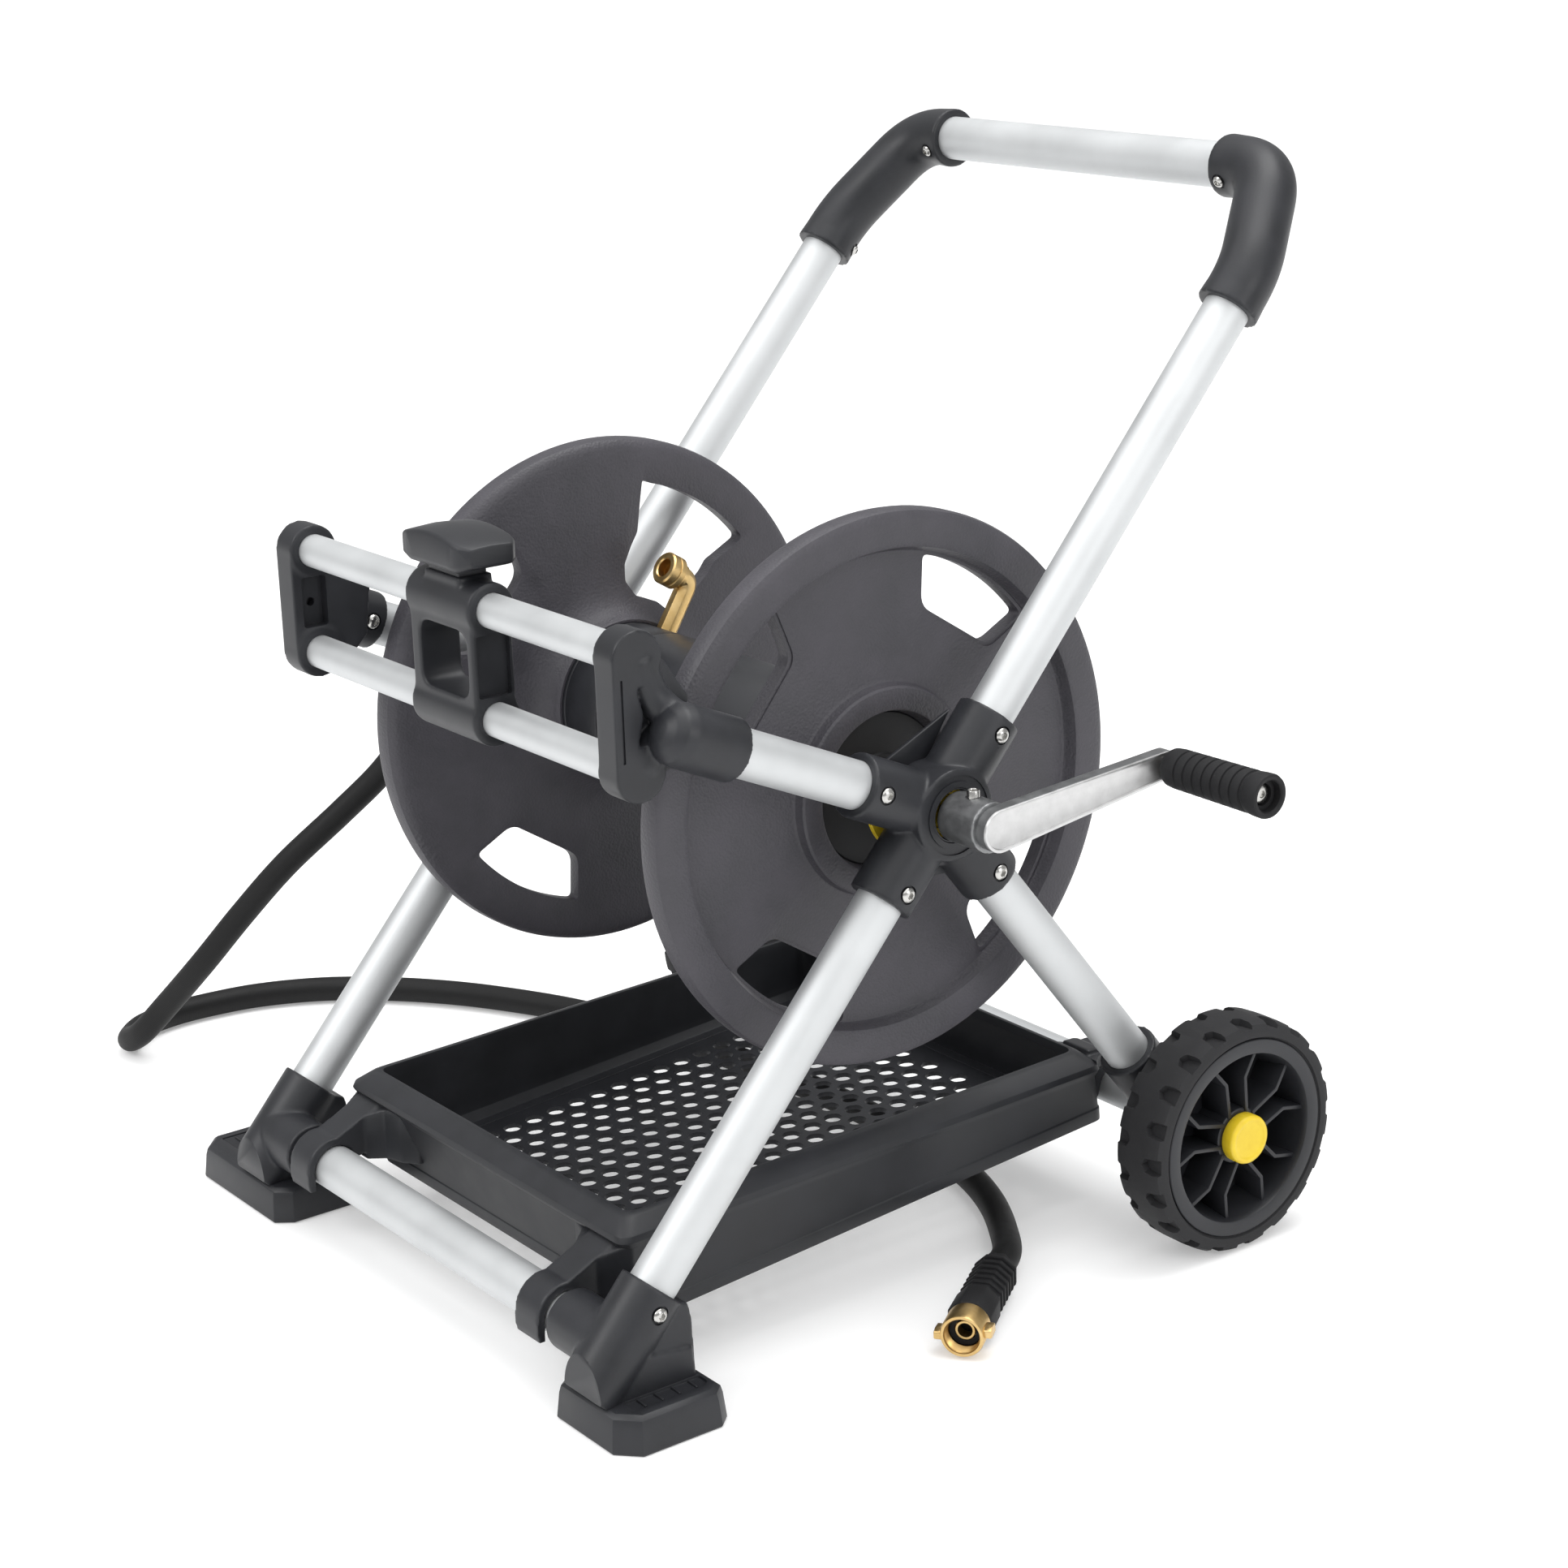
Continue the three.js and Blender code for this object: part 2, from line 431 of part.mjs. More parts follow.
add('drum_outlet', cut(join(rod(along(OUTLET_ANGLE, SPINDLE_R + 0.4, OUTLET_X), OUTLET_CORNER, 8.2,
  8.2, 14),
  solid(outletBall), rod(OUTLET_CORNER, outletAt(20), 9.6, 9.6, 16), rod(outletAt(14), outletAt(28), 13.5)),
  rod(outletAt(6), outletAt(30), 7.4, 7.4, 16)), 'brass');

addPair('bushing', turnX([[HUB_BACK_X - 4.4, SPINDLE_R + 0.35], [HUB_BACK_X - 4.4, 38.5],
  [HUB_BACK_X - 0.3, 38.5],
  [HUB_BACK_X - 0.3, 20], [HUB_FACE_X - 3, 20], [HUB_FACE_X - 3, SPINDLE_R + 0.35]], 0, REEL_HEIGHT,
    20), 'yellow');

// ---- crank ---------------------------------------------------------------------------------
const GRIP = along(CRANK_ANGLE, CRANK_LENGTH);

function crankArm() {
  const outline = [];
  for (const [centre, r, from] of [[0, 15.5, 90], [CRANK_LENGTH, 10.5, -90]]) {
    for (let i = 0; i <= 10; i++) {
      const a = rad(from + 18 * i);
      const [u, v] = [centre + r * Math.cos(a), r * Math.sin(a)];
      const [c, s] = [Math.cos(rad(CRANK_ANGLE)), Math.sin(rad(CRANK_ANGLE))];
      outline.push([u * c - v * s, REEL_HEIGHT + u * s + v * c]);
    }
  }
  return cut(join(rod([HUB_FACE_X + 0.4, 0, REEL_HEIGHT], [CRANK_X + 1, 0, REEL_HEIGHT], 18.5),
    prismX(outline, CRANK_X, CRANK_X + 12)),
    rod([HUB_FACE_X - 5, 0, REEL_HEIGHT], [CRANK_X - 3, 0, REEL_HEIGHT], SPINDLE_R + 0.3),
    rod([CRANK_X - 3, GRIP.y, GRIP.z], [CRANK_X + 17, GRIP.y, GRIP.z], 4.8, 4.8, 20),
    rod([CRANK_X - 19, 0, REEL_HEIGHT + 5], [CRANK_X - 19, 0, REEL_HEIGHT + 25], 3.3, 3.3, 16));
}

add('crank_arm', crankArm(), 'cast');
add('crank_set_screw', join(rod([CRANK_X - 19, 0, REEL_HEIGHT + SPINDLE_R + 0.4],
  [CRANK_X - 19, 0, REEL_HEIGHT + 20], 3, 3, 16),
  rod([CRANK_X - 19, 0, REEL_HEIGHT + 18.9], [CRANK_X - 19, 0, REEL_HEIGHT + 23.5], 5.2, 5.2, 16)),
    'steel');
add('crank_pin', join(rod([CRANK_X - 5, GRIP.y, GRIP.z], [CRANK_X - 0.4, GRIP.y, GRIP.z], 7.5, 7.5, 20),
  rod([CRANK_X - 1, GRIP.y, GRIP.z], [CRANK_X + 103, GRIP.y, GRIP.z], 4.5, 4.5, 20),
  rod([CRANK_X + 102.3, GRIP.y, GRIP.z], [CRANK_X + 106, GRIP.y, GRIP.z], 7.5, 7.5, 20)), 'steel');
add('crank_grip', turnX([[15, 4.9], [15, 12], [19, 14.5], [101, 15.6], [107, 16.3], [112, 16.3], [114, 15],
  [114, 11.5], [106.5, 11.5], [106.5, 8.2], [102, 8.2], [102, 4.9]].map(([x, r]) => [CRANK_X + x, r]),
GRIP.y, GRIP.z, 18), 'soft');

// ---- hose guide ----------------------------------------------------------------------------
function slider() {
  const [x0, x1] = [SLIDER_X - SLIDER_LENGTH / 2, SLIDER_X + SLIDER_LENGTH / 2];
  const levels = [GUIDE_UPPER_Z, GUIDE_LOWER_Z];
  const sleeves = levels.map((z) => rod([x0, GUIDE_Y, z], [x1, GUIDE_Y, z], GUIDE_R + 7.35));
  const posts = [[x0 + 1, x0 + 19], [x1 - 19, x1 - 1]].map(([a, b]) =>
    box(a, b, GUIDE_Y - 17, GUIDE_Y + 17, GUIDE_LOWER_Z, GUIDE_UPPER_Z));
  const stem = box(SLIDER_X - 22, SLIDER_X + 22, GUIDE_Y - 12, GUIDE_Y + 12, GUIDE_UPPER_Z + 14,
    GUIDE_UPPER_Z + 27);
  const bores = levels.map((z) => rod([x0 - 5, GUIDE_Y, z], [x1 + 5, GUIDE_Y, z], GUIDE_R + 0.5));
  return cut(join(...sleeves, ...posts, stem), ...bores);
}

function knob() {
  const z = GUIDE_UPPER_Z + 27.3;
  const ring = (half, depth, trim) => [[-half, -depth + trim], [-half + trim, -depth], [half - trim,
    -depth],
    [half, -depth + trim], [half, depth - trim], [half - trim, depth], [-half + trim, depth],
    [-half, depth - trim]].map(([x, y]) => [SLIDER_X + x, GUIDE_Y + 2 + y]);
  const [low, high] = [ring(45, 25, 9), ring(36, 16, 7)];
  const list = [];
  const levels = [low.map(([x, y]) => [x, y, z]), low.map(([x, y]) => [x, y, z + 17]),
    high.map(([x, y]) => [x, y, z + 27])];
  const tri = (a, b, c) => list.push(...a, ...b, ...c);
  for (let i = 0; i < 8; i++) {
    const j = (i + 1) % 8;
    for (let l = 0; l < 2; l++) {
      tri(levels[l][i], levels[l][j], levels[l + 1][j]);
      tri(levels[l][i], levels[l + 1][j], levels[l + 1][i]);
    }
    if (i > 0 && i < 7) {
      tri(levels[0][0], levels[0][j], levels[0][i]);
      tri(levels[2][0], levels[2][i], levels[2][j]);
    }
  }
  const body = new THREE.BufferGeometry();
  body.setAttribute('position', new THREE.Float32BufferAttribute(list, 3));
  return solid(body);
}

add('guide_slider', slider(), 'moulded');
add('slider_knob', knob(), 'moulded');

// ---- tray ----------------------------------------------------------------------------------
function tray() {
  const w = CROSS_MOUTH_X + TRAY_OVERLAP;
  const level = (dx, y0, y1, z0, z1) => [[-dx, y0, z0], [dx, y0, z0], [dx, y1, z1], [-dx, y1, z1]];
  const shell = cut(block(level(w - 10, -227, 211, 37, 70), level(w - 5, -246, 202, 112, 124)),
    block(level(w - 14, -223, 207, 41, 74), level(w - 8.5, -243.5, 199.5, 126, 138)));
  const rimRing = cut(block(level(w, -251, 204, 112, 124), level(w, -251, 204, 119, 131)),
    block(level(w - 19, -232, 190, 108, 120), level(w - 19, -232, 190, 123, 135)));
  const arc = (cy, cz, r, from, to, count) => Array.from({ length: count + 1 }, (_, i) => {
    const a = rad(from + ((to - from) * i) / count);
    return [cy + r * Math.cos(a), cz + r * Math.sin(a)];
  });
  const [cy, cz] = [CROSS.y, CROSS.z];
  const front = [[-244, 70], [-238, 118], [-258, 117], ...arc(cy, cz, 25, 62, 192, 9),
    ...arc(cy, cz, TUBE_R + 0.4, 192, 10, 12)];
  const rear = [[205, 80], [200, 126], [214, 125], ...arc(AXLE_Y, AXLE_Z, 25, 100, 15, 6),
    ...arc(AXLE_Y, AXLE_Z, TUBE_R + 0.4, 15, 172, 10)];
  const hooks = [];
  for (const x of [6 - CROSS_MOUTH_X, CROSS_MOUTH_X - 36]) {
    hooks.push(prismX(front, x, x + 30), prismX(rear, x, x + 30));
  }
  return join(shell, rimRing, ...hooks);
}

add('tray', tray(), 'moulded');

// ---- inlet and leader hose -----------------------------------------------------------------
add('inlet_swivel', turnX([[39.9, 6], [39.9, 11], [31, 11], [31, 13.5], [21, 13.5], [21, 18], [5, 18],
  [5, 24],
  [1.4, 24], [1.4, 6]].map(([x, r]) => [-HUB_FACE_X - x, r]), 0, REEL_HEIGHT, 16), 'brass');

const hoseEnd = vec(HOSE_POINTS[HOSE_POINTS.length - 1]);
const hoseOut = hoseEnd.clone().sub(vec(HOSE_POINTS[HOSE_POINTS.length - 2])).normalize();
const hoseAt = (s) => hoseEnd.clone().addScaledVector(hoseOut, s);
const [sleeveEnd, hoseFace] = [SLEEVE_LENGTH, SLEEVE_LENGTH + COUPLING_LENGTH];
cords.push(asMesh('leader_hose', sweep(HOSE_POINTS, HOSE_R, 8, 56), 'rubber'));
cords.push(asMesh('hose_sleeve', rod(hoseAt(0.3), hoseAt(sleeveEnd), 18.2, 18.2, 8), 'soft'));
cords.push(asMesh('hose_coupling', cut(rod(hoseAt(sleeveEnd + 0.3), hoseAt(hoseFace), 16.5),
  rod(hoseAt(sleeveEnd + 8), hoseAt(hoseFace + 5), 13), rod(hoseAt(sleeveEnd), hoseAt(hoseFace), 7, 7,
    16)), 'brass'));
cords.push(asMesh('hose_washer', cut(rod(hoseAt(sleeveEnd + 8.3), hoseAt(sleeveEnd + 11), 12.6),
  rod(hoseAt(sleeveEnd + 8), hoseAt(sleeveEnd + 12), 6.5, 6.5, 16)), 'soft'));

// ---- set down with the middle of the cart over the origin ----------------------------------
const group = new THREE.Group();
group.name = 'hose_reel_cart';
const bounds = new THREE.Box3();
for (const mesh of cart) bounds.expandByObject(mesh);
const middle = bounds.getCenter(new THREE.Vector3());
for (const mesh of [...cart, ...cords]) {
  mesh.geometry.translate(-middle.x, -middle.y, -bounds.min.z);
  group.add(mesh);
}
export default group;
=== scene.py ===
"""Garden hose reel cart, dressed for its looks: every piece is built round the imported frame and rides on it.

Pieces are modelled in millimetres: x from the middle of the cart along the reel axis (crank at +x),
y from the reel axis (front is -y), z above the ground. settle() takes them into the frame's metres.
"""
import math
import bmesh
import bpy
from mathutils import Matrix, Vector


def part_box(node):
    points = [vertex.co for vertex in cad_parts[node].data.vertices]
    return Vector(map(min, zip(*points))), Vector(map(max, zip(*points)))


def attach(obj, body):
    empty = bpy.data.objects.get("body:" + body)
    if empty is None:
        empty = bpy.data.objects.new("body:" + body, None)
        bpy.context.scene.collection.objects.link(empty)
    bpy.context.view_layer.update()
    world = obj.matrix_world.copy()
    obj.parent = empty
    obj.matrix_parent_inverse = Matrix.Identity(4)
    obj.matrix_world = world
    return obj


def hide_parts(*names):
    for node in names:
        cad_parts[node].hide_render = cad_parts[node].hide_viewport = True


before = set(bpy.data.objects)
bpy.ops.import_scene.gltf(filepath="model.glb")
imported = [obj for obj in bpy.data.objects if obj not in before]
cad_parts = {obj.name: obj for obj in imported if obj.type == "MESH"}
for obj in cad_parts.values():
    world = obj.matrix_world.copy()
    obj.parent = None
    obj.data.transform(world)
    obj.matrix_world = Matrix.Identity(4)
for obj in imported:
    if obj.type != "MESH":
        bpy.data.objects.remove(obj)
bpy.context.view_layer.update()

# ---- sizes, as in the frame ------------------------------------------------------------------
MM = 0.001
drum_low, drum_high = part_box("drum")
REEL = (drum_low + drum_high) / 2
REEL_Z = REEL.z / MM
SIDE_X = 241.5
TUBE_R, SOCKET_R = 17.5, 23.5
HANDLE, ARM, LEG = (math.radians(a) for a in (48.75, 155.9, 228.4))
AXLE_Y, AXLE_Z = 231.4, 92.0
REAR = math.atan2(AXLE_Z - REEL_Z, AXLE_Y)
REAR_LENGTH = math.hypot(AXLE_Z - REEL_Z, AXLE_Y)
GUIDE_Y, GUIDE_HIGH, GUIDE_LOW = -239.2, 535.3, 456.0
GUIDE_BAR_R, GUIDE_LOBE_R = 12.65, 19.8
SLIDER_X = 6.5
CRANK, CRANK_LENGTH = math.radians(5.8), 157.0
HOSE_R, HOSE_SIDES = 11.25, 36


def along(angle, s, x=SIDE_X):
    """A point s from the reel axis on a line of a side frame."""
    return Vector((x, s * math.cos(angle), REEL_Z + s * math.sin(angle)))


def to_frame(p):
    """A point of the cart in the frame's metres."""
    return Vector(p) * MM + Vector((REEL.x, REEL.y, 0.0))


# ---- shapes: lists of points and faces, joined into meshes -----------------------------------
def loft(rings, closed=False):
    """Closed skin over rings of equally many points; a closed one joins its last ring to its first."""
    n = len(rings[0])
    points = [Vector(p) for ring in rings for p in ring]
    faces = []
    spans = range(len(rings)) if closed else range(len(rings) - 1)
    for k in spans:
        a, b = k * n, ((k + 1) % len(rings)) * n
        faces += [(a + i, a + (i + 1) % n, b + (i + 1) % n, b + i) for i in range(n)]
    if not closed:
        faces += [tuple(range(n)), tuple(range(len(points) - n, len(points)))]
    return points, faces


def across(axis):
    """Two directions square to an axis."""
    axis = Vector(axis).normalized()
    first = Vector((0, 1, 0)) if abs(axis.x) > 0.9 else Vector((1, 0, 0))
    u = (first - axis * first.dot(axis)).normalized()
    return u, axis.cross(u)


def turned(profile, start=(0, 0, 0), axis=(1, 0, 0), count=64):
    """A closed profile of (distance along the axis, radius), turned round the axis."""
    start, way = Vector(start), Vector(axis).normalized()
    u, v = across(way)
    rings = []
    for s, r in profile:
        r = max(r, 0.02)
        rings.append([start + way * s + (u * math.cos(t) + v * math.sin(t)) * r
                      for t in (2 * math.pi * i / count for i in range(count))])
    solid_core = profile[0][1] == 0 and profile[-1][1] == 0
    return loft(rings, closed=not solid_core)


def on_reel(profile, count=64):
    """A profile of (x, radius) turned round the reel axis."""
    return turned(profile, (0, 0, REEL_Z), count=count)


def on_axle(profile, count):
    """A profile of (x, radius) turned round the wheel axle."""
    return turned(profile, (0, AXLE_Y, AXLE_Z), count=count)


def rod(a, b, r0, r1=None, count=48):
    """A round bar or cone from a to b."""
    a, b = Vector(a), Vector(b)
    r1 = r0 if r1 is None else r1
    length = (b - a).length
    return turned([(0, 0), (0, r0), (length, r1), (length, 0)], a, b - a, count)


def bar(x0, x1, y, z, r0, r1=None, count=48):
    """A rod along x."""
    return rod((x0, y, z), (x1, y, z), r0, r1, count)


def prism(outline, low, high, way="x"):
    """An outline pushed along an axis: (y, z) along x, (x, z) along y or (x, y) along z."""
    order = {"x": lambda p, q, s: (s, p, q), "y": lambda p, q, s: (p, s, q), "z": lambda p, q,
             s: (p, q, s)}[way]
    return loft([[order(p, q, s) for p, q in outline] for s in (low, high)])


def block(x, y, z):
    """A box, given as its (low, high) along each axis."""
    return prism([(x[0], y[0]), (x[1], y[0]), (x[1], y[1]), (x[0], y[1])], z[0], z[1], "z")


def swept(path, radius=0, count=32, section=None):
    """A round bar, or any section of (u, v), along a line of points."""
    path = [Vector(p) for p in path]
    ways = [(path[min(i + 1, len(path) - 1)] - path[max(i - 1,
                                                        0)]).normalized() for i in range(len(path))]
    u = across(ways[0])[0]
    section = section or [(radius * math.cos(t), radius * math.sin(t))
                          for t in (2 * math.pi * i / count for i in range(count))]
    rings = []
    for p, way in zip(path, ways):
        u = (u - way * u.dot(way)).normalized()
        v = way.cross(u)
        rings.append([p + u * a + v * b for a, b in section])
    return loft(rings)


def arc(cy, cz, r, start, end, count):
    """Points of an arc round (cy, cz), from start to end degrees."""
    return [(cy + r * math.cos(math.radians(start + (end - start) * i / count)),
             cz + r * math.sin(math.radians(start + (end - start) * i / count))) for i in range(count + 1)]


def regular(sides, r, u=0.0, v=0.0, turn=0.0):
    """Corners of a regular polygon round (u, v)."""
    angles = [math.radians(360 / sides * i + turn) for i in range(sides)]
    return [(u + r * math.cos(a), v + r * math.sin(a)) for a in angles]


def softened(corners, reach, count=8):
    """A line of points with its corners rounded, each starting reach away from the corner."""
    corners = [Vector(c) for c in corners]
    out = [corners[0]]
    for i, near in enumerate(reach, 1):
        a, b, c = corners[i - 1], corners[i], corners[i + 1]
        p, q = b + (a - b).normalized() * near, b + (c - b).normalized() * near
        for k in range(count + 1):
            t = k / count
            out.append(p * (1 - t) ** 2 + b * 2 * t * (1 - t) + q * t * t)
    return out + [corners[-1]]


def rounded(outline, radius, count=5):
    """A flat closed outline with its corners rounded."""
    out = []
    n = len(outline)
    for i in range(n):
        a, b, c = (Vector((*outline[(i + k) % n], 0)) for k in (-1, 0, 1))
        near = min(radius, (a - b).length * 0.45, (c - b).length * 0.45)
        p, q = b + (a - b).normalized() * near, b + (c - b).normalized() * near
        for k in range(count + 1):
            t = k / count
            m = p * (1 - t) ** 2 + b * 2 * t * (1 - t) + q * t * t
            out.append((m.x, m.y))
    return out


# ---- from shapes to pieces -------------------------------------------------------------------
def shown(name, data):
    """A new object in the scene."""
    thing = bpy.data.objects.new(name, data)
    bpy.context.scene.collection.objects.link(thing)
    return thing


def made(*shapes):
    """One object out of shapes, faces outwards."""
    mesh = bpy.data.meshes.new("work")
    points, faces = [], []
    for some_points, some_faces in shapes:
        faces += [tuple(i + len(points) for i in face) for face in some_faces]
        points += some_points
    mesh.from_pydata(points, [], faces)
    work = bmesh.new()
    work.from_mesh(mesh)
    bmesh.ops.recalc_face_normals(work, faces=work.faces)
    work.to_mesh(mesh)
    work.free()
    return shown("work", mesh)


def applied(piece, *modifiers):
    """Runs modifiers, given as (type, settings), and keeps their result as the piece's mesh."""
    for kind, settings in modifiers:
        modifier = piece.modifiers.new(kind.lower(), kind)
        for key, value in settings.items():
            setattr(modifier, key, value)
    seen = piece.evaluated_get(bpy.context.evaluated_depsgraph_get())
    old, piece.data = piece.data, bpy.data.meshes.new_from_object(seen)
    piece.modifiers.clear()
    bpy.data.meshes.remove(old)
    return piece


def carved(piece, *shapes, how="DIFFERENCE"):
    """Cuts shapes away from a piece, or unites them with it."""
    for shape in shapes:
        tool = shape if isinstance(shape, bpy.types.Object) else made(shape)
        applied(piece, ("BOOLEAN", {"operation": how, "solver": "MANIFOLD", "object": tool}))
        bpy.data.objects.remove(tool)
    return piece


def fused(*shapes, grain=1.4, rounds=8, keep=0.5):
    """Shapes run together with soft inner corners and rounded edges, as a moulding has them."""
    return applied(made(*shapes),
                   ("REMESH", {"mode": "VOXEL", "voxel_size": grain, "adaptivity": 0.0}),
                   ("SMOOTH", {"factor": 0.5, "iterations": rounds}), ("DECIMATE", {"ratio": keep}))


def eased(piece, width, steps=2, angle=32):
    """Edges sharper than the angle get a small round."""
    return applied(piece, ("BEVEL", {"width": width, "segments": steps, "limit_method": "ANGLE",
                                     "angle_limit": math.radians(angle), "harden_normals": False}))


def joined(*pieces):
    """Several work objects in one."""
    work = bmesh.new()
    for piece in pieces:
        work.from_mesh(piece.data)
    piece = pieces[0]
    work.to_mesh(piece.data)
    work.free()
    for other in pieces[1:]:
        bpy.data.objects.remove(other)
    return piece


def mirrored(piece):
    """The left-hand copy of a right-hand piece."""
    twin = piece.copy()
    twin.data = piece.data.copy()
    twin.data.transform(Matrix.Scale(-1, 4, (1, 0, 0)))
    twin.data.flip_normals()
    bpy.context.scene.collection.objects.link(twin)
    return twin


def settle(piece, name, material, body, *nodes, slot="moulded_plastic", crease=38):
    """Takes a finished piece into the frame: its name, finish, body and the nodes it stands for."""
    piece.name = piece.data.name = name
    mesh = piece.data
    mesh.transform(Matrix.Translation((REEL.x, REEL.y, 0)) @ Matrix.Scale(MM, 4))
    mesh.materials.clear()
    mesh.materials.append(material)
    mesh.shade_smooth()
    mesh.set_sharp_from_angle(angle=math.radians(crease))
    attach(piece, body)
    if nodes:
        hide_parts(*nodes)
    return piece


def settle_pair(piece, name, material, node, slot="moulded_plastic", body="frame", crease=38):
    """Settles a right-hand piece and its mirrored copy on the left."""
    twin = mirrored(piece)
    for side, one in (("right", piece), ("left", twin)):
        where = body if body in ("frame", "reel") else f"{body}_{side}"
        settle(one, f"{name}_{side}", material, where, *([f"{node}_{side}"] if node else []),
               slot=slot, crease=crease)
    return piece, twin


# ---- nodes -----------------------------------------------------------------------------------
def add(tree, kind, links=None, **settings):
    """Adds a node with its settings; links gives each input a socket to join or a value."""
    node = tree.nodes.new(kind)
    for key, value in settings.items():
        setattr(node, key, value)
    for key, value in (links or {}).items():
        if isinstance(value, bpy.types.NodeSocket):
            tree.links.new(value, node.inputs[key])
        else:
            node.inputs[key].default_value = value
    return node


def tree_of(name, sockets):
    """A geometry tree with named inputs, given as (name, type, value), and its two end nodes."""
    tree = bpy.data.node_groups.new(name, "GeometryNodeTree")
    tree.interface.new_socket("Geometry", in_out="INPUT", socket_type="NodeSocketGeometry")
    for label, kind, value in sockets:
        socket = tree.interface.new_socket(label, in_out="INPUT", socket_type=kind)
        if value is not None:
            socket.default_value = value
    tree.interface.new_socket("Geometry", in_out="OUTPUT", socket_type="NodeSocketGeometry")
    return tree, add(tree, "NodeGroupInput"), add(tree, "NodeGroupOutput")


def close_tree(tree, shape, inputs, output):
    """Instances become mesh, and the finish goes on."""
    real = add(tree, "GeometryNodeRealizeInstances", {"Geometry": shape})
    done = add(tree, "GeometryNodeSetMaterial", {"Geometry": real.outputs[0],
                                                 "Material": inputs.outputs["Finish"]})
    tree.links.new(done.outputs[0], output.inputs[0])
    return tree


def round_tree():
    """Copies a shape round an axis along x through Centre."""
    tree, given, out = tree_of("round_the_axis", [
        ("Count", "NodeSocketInt", 12), ("Start", "NodeSocketFloat", 0.0),
        ("Centre", "NodeSocketVector", None), ("Finish", "NodeSocketMaterial", None)])
    points = add(tree, "GeometryNodePoints", {"Count": given.outputs["Count"],
                                              "Position": given.outputs["Centre"]})
    index = add(tree, "GeometryNodeInputIndex")
    pitch = add(tree, "ShaderNodeMath", {0: 2 * math.pi, 1: given.outputs["Count"]}, operation="DIVIDE")
    turn = add(tree, "ShaderNodeMath", {0: index.outputs[0], 1: pitch.outputs[0],
                                        2: given.outputs["Start"]},
               operation="MULTIPLY_ADD")
    spin = add(tree, "ShaderNodeCombineXYZ", {"X": turn.outputs[0]})
    copies = add(tree, "GeometryNodeInstanceOnPoints", {
        "Points": points.outputs[0], "Instance": given.outputs["Geometry"], "Rotation": spin.outputs[0]})
    return close_tree(tree, copies.outputs[0], given, out)


def row_tree():
    """Copies a shape along a straight row, Step apart."""
    tree, given, out = tree_of("along_a_row", [
        ("Count", "NodeSocketInt", 5), ("Step", "NodeSocketVector", None),
        ("Finish", "NodeSocketMaterial", None)])
    index = add(tree, "GeometryNodeInputIndex")
    shift = add(tree, "ShaderNodeVectorMath", {0: given.outputs["Step"], "Scale": index.outputs[0]},
                operation="SCALE")
    points = add(tree, "GeometryNodePoints", {"Count": given.outputs["Count"],
                                              "Position": shift.outputs[0]})
    copies = add(tree, "GeometryNodeInstanceOnPoints", {
        "Points": points.outputs[0], "Instance": given.outputs["Geometry"]})
    return close_tree(tree, copies.outputs[0], given, out)


def aimed_tree():
    """Sets a fastener on every point of the mesh, its head along the point's own aim."""
    tree, given, out = tree_of("aimed_on_points", [
        ("Fastener", "NodeSocketObject", None), ("Finish", "NodeSocketMaterial", None)])
    aim = add(tree, "GeometryNodeInputNamedAttribute", {"Name": "aim"}, data_type="FLOAT_VECTOR")
    turn = add(tree, "FunctionNodeAlignRotationToVector", {"Vector": aim.outputs[0]}, axis="X")
    thing = add(tree, "GeometryNodeObjectInfo", {"Object": given.outputs["Fastener"],
                                                 "As Instance": True})
    copies = add(tree, "GeometryNodeInstanceOnPoints", {
        "Points": given.outputs["Geometry"], "Instance": thing.outputs["Geometry"],
        "Rotation": turn.outputs[0]})
    return close_tree(tree, copies.outputs[0], given, out)


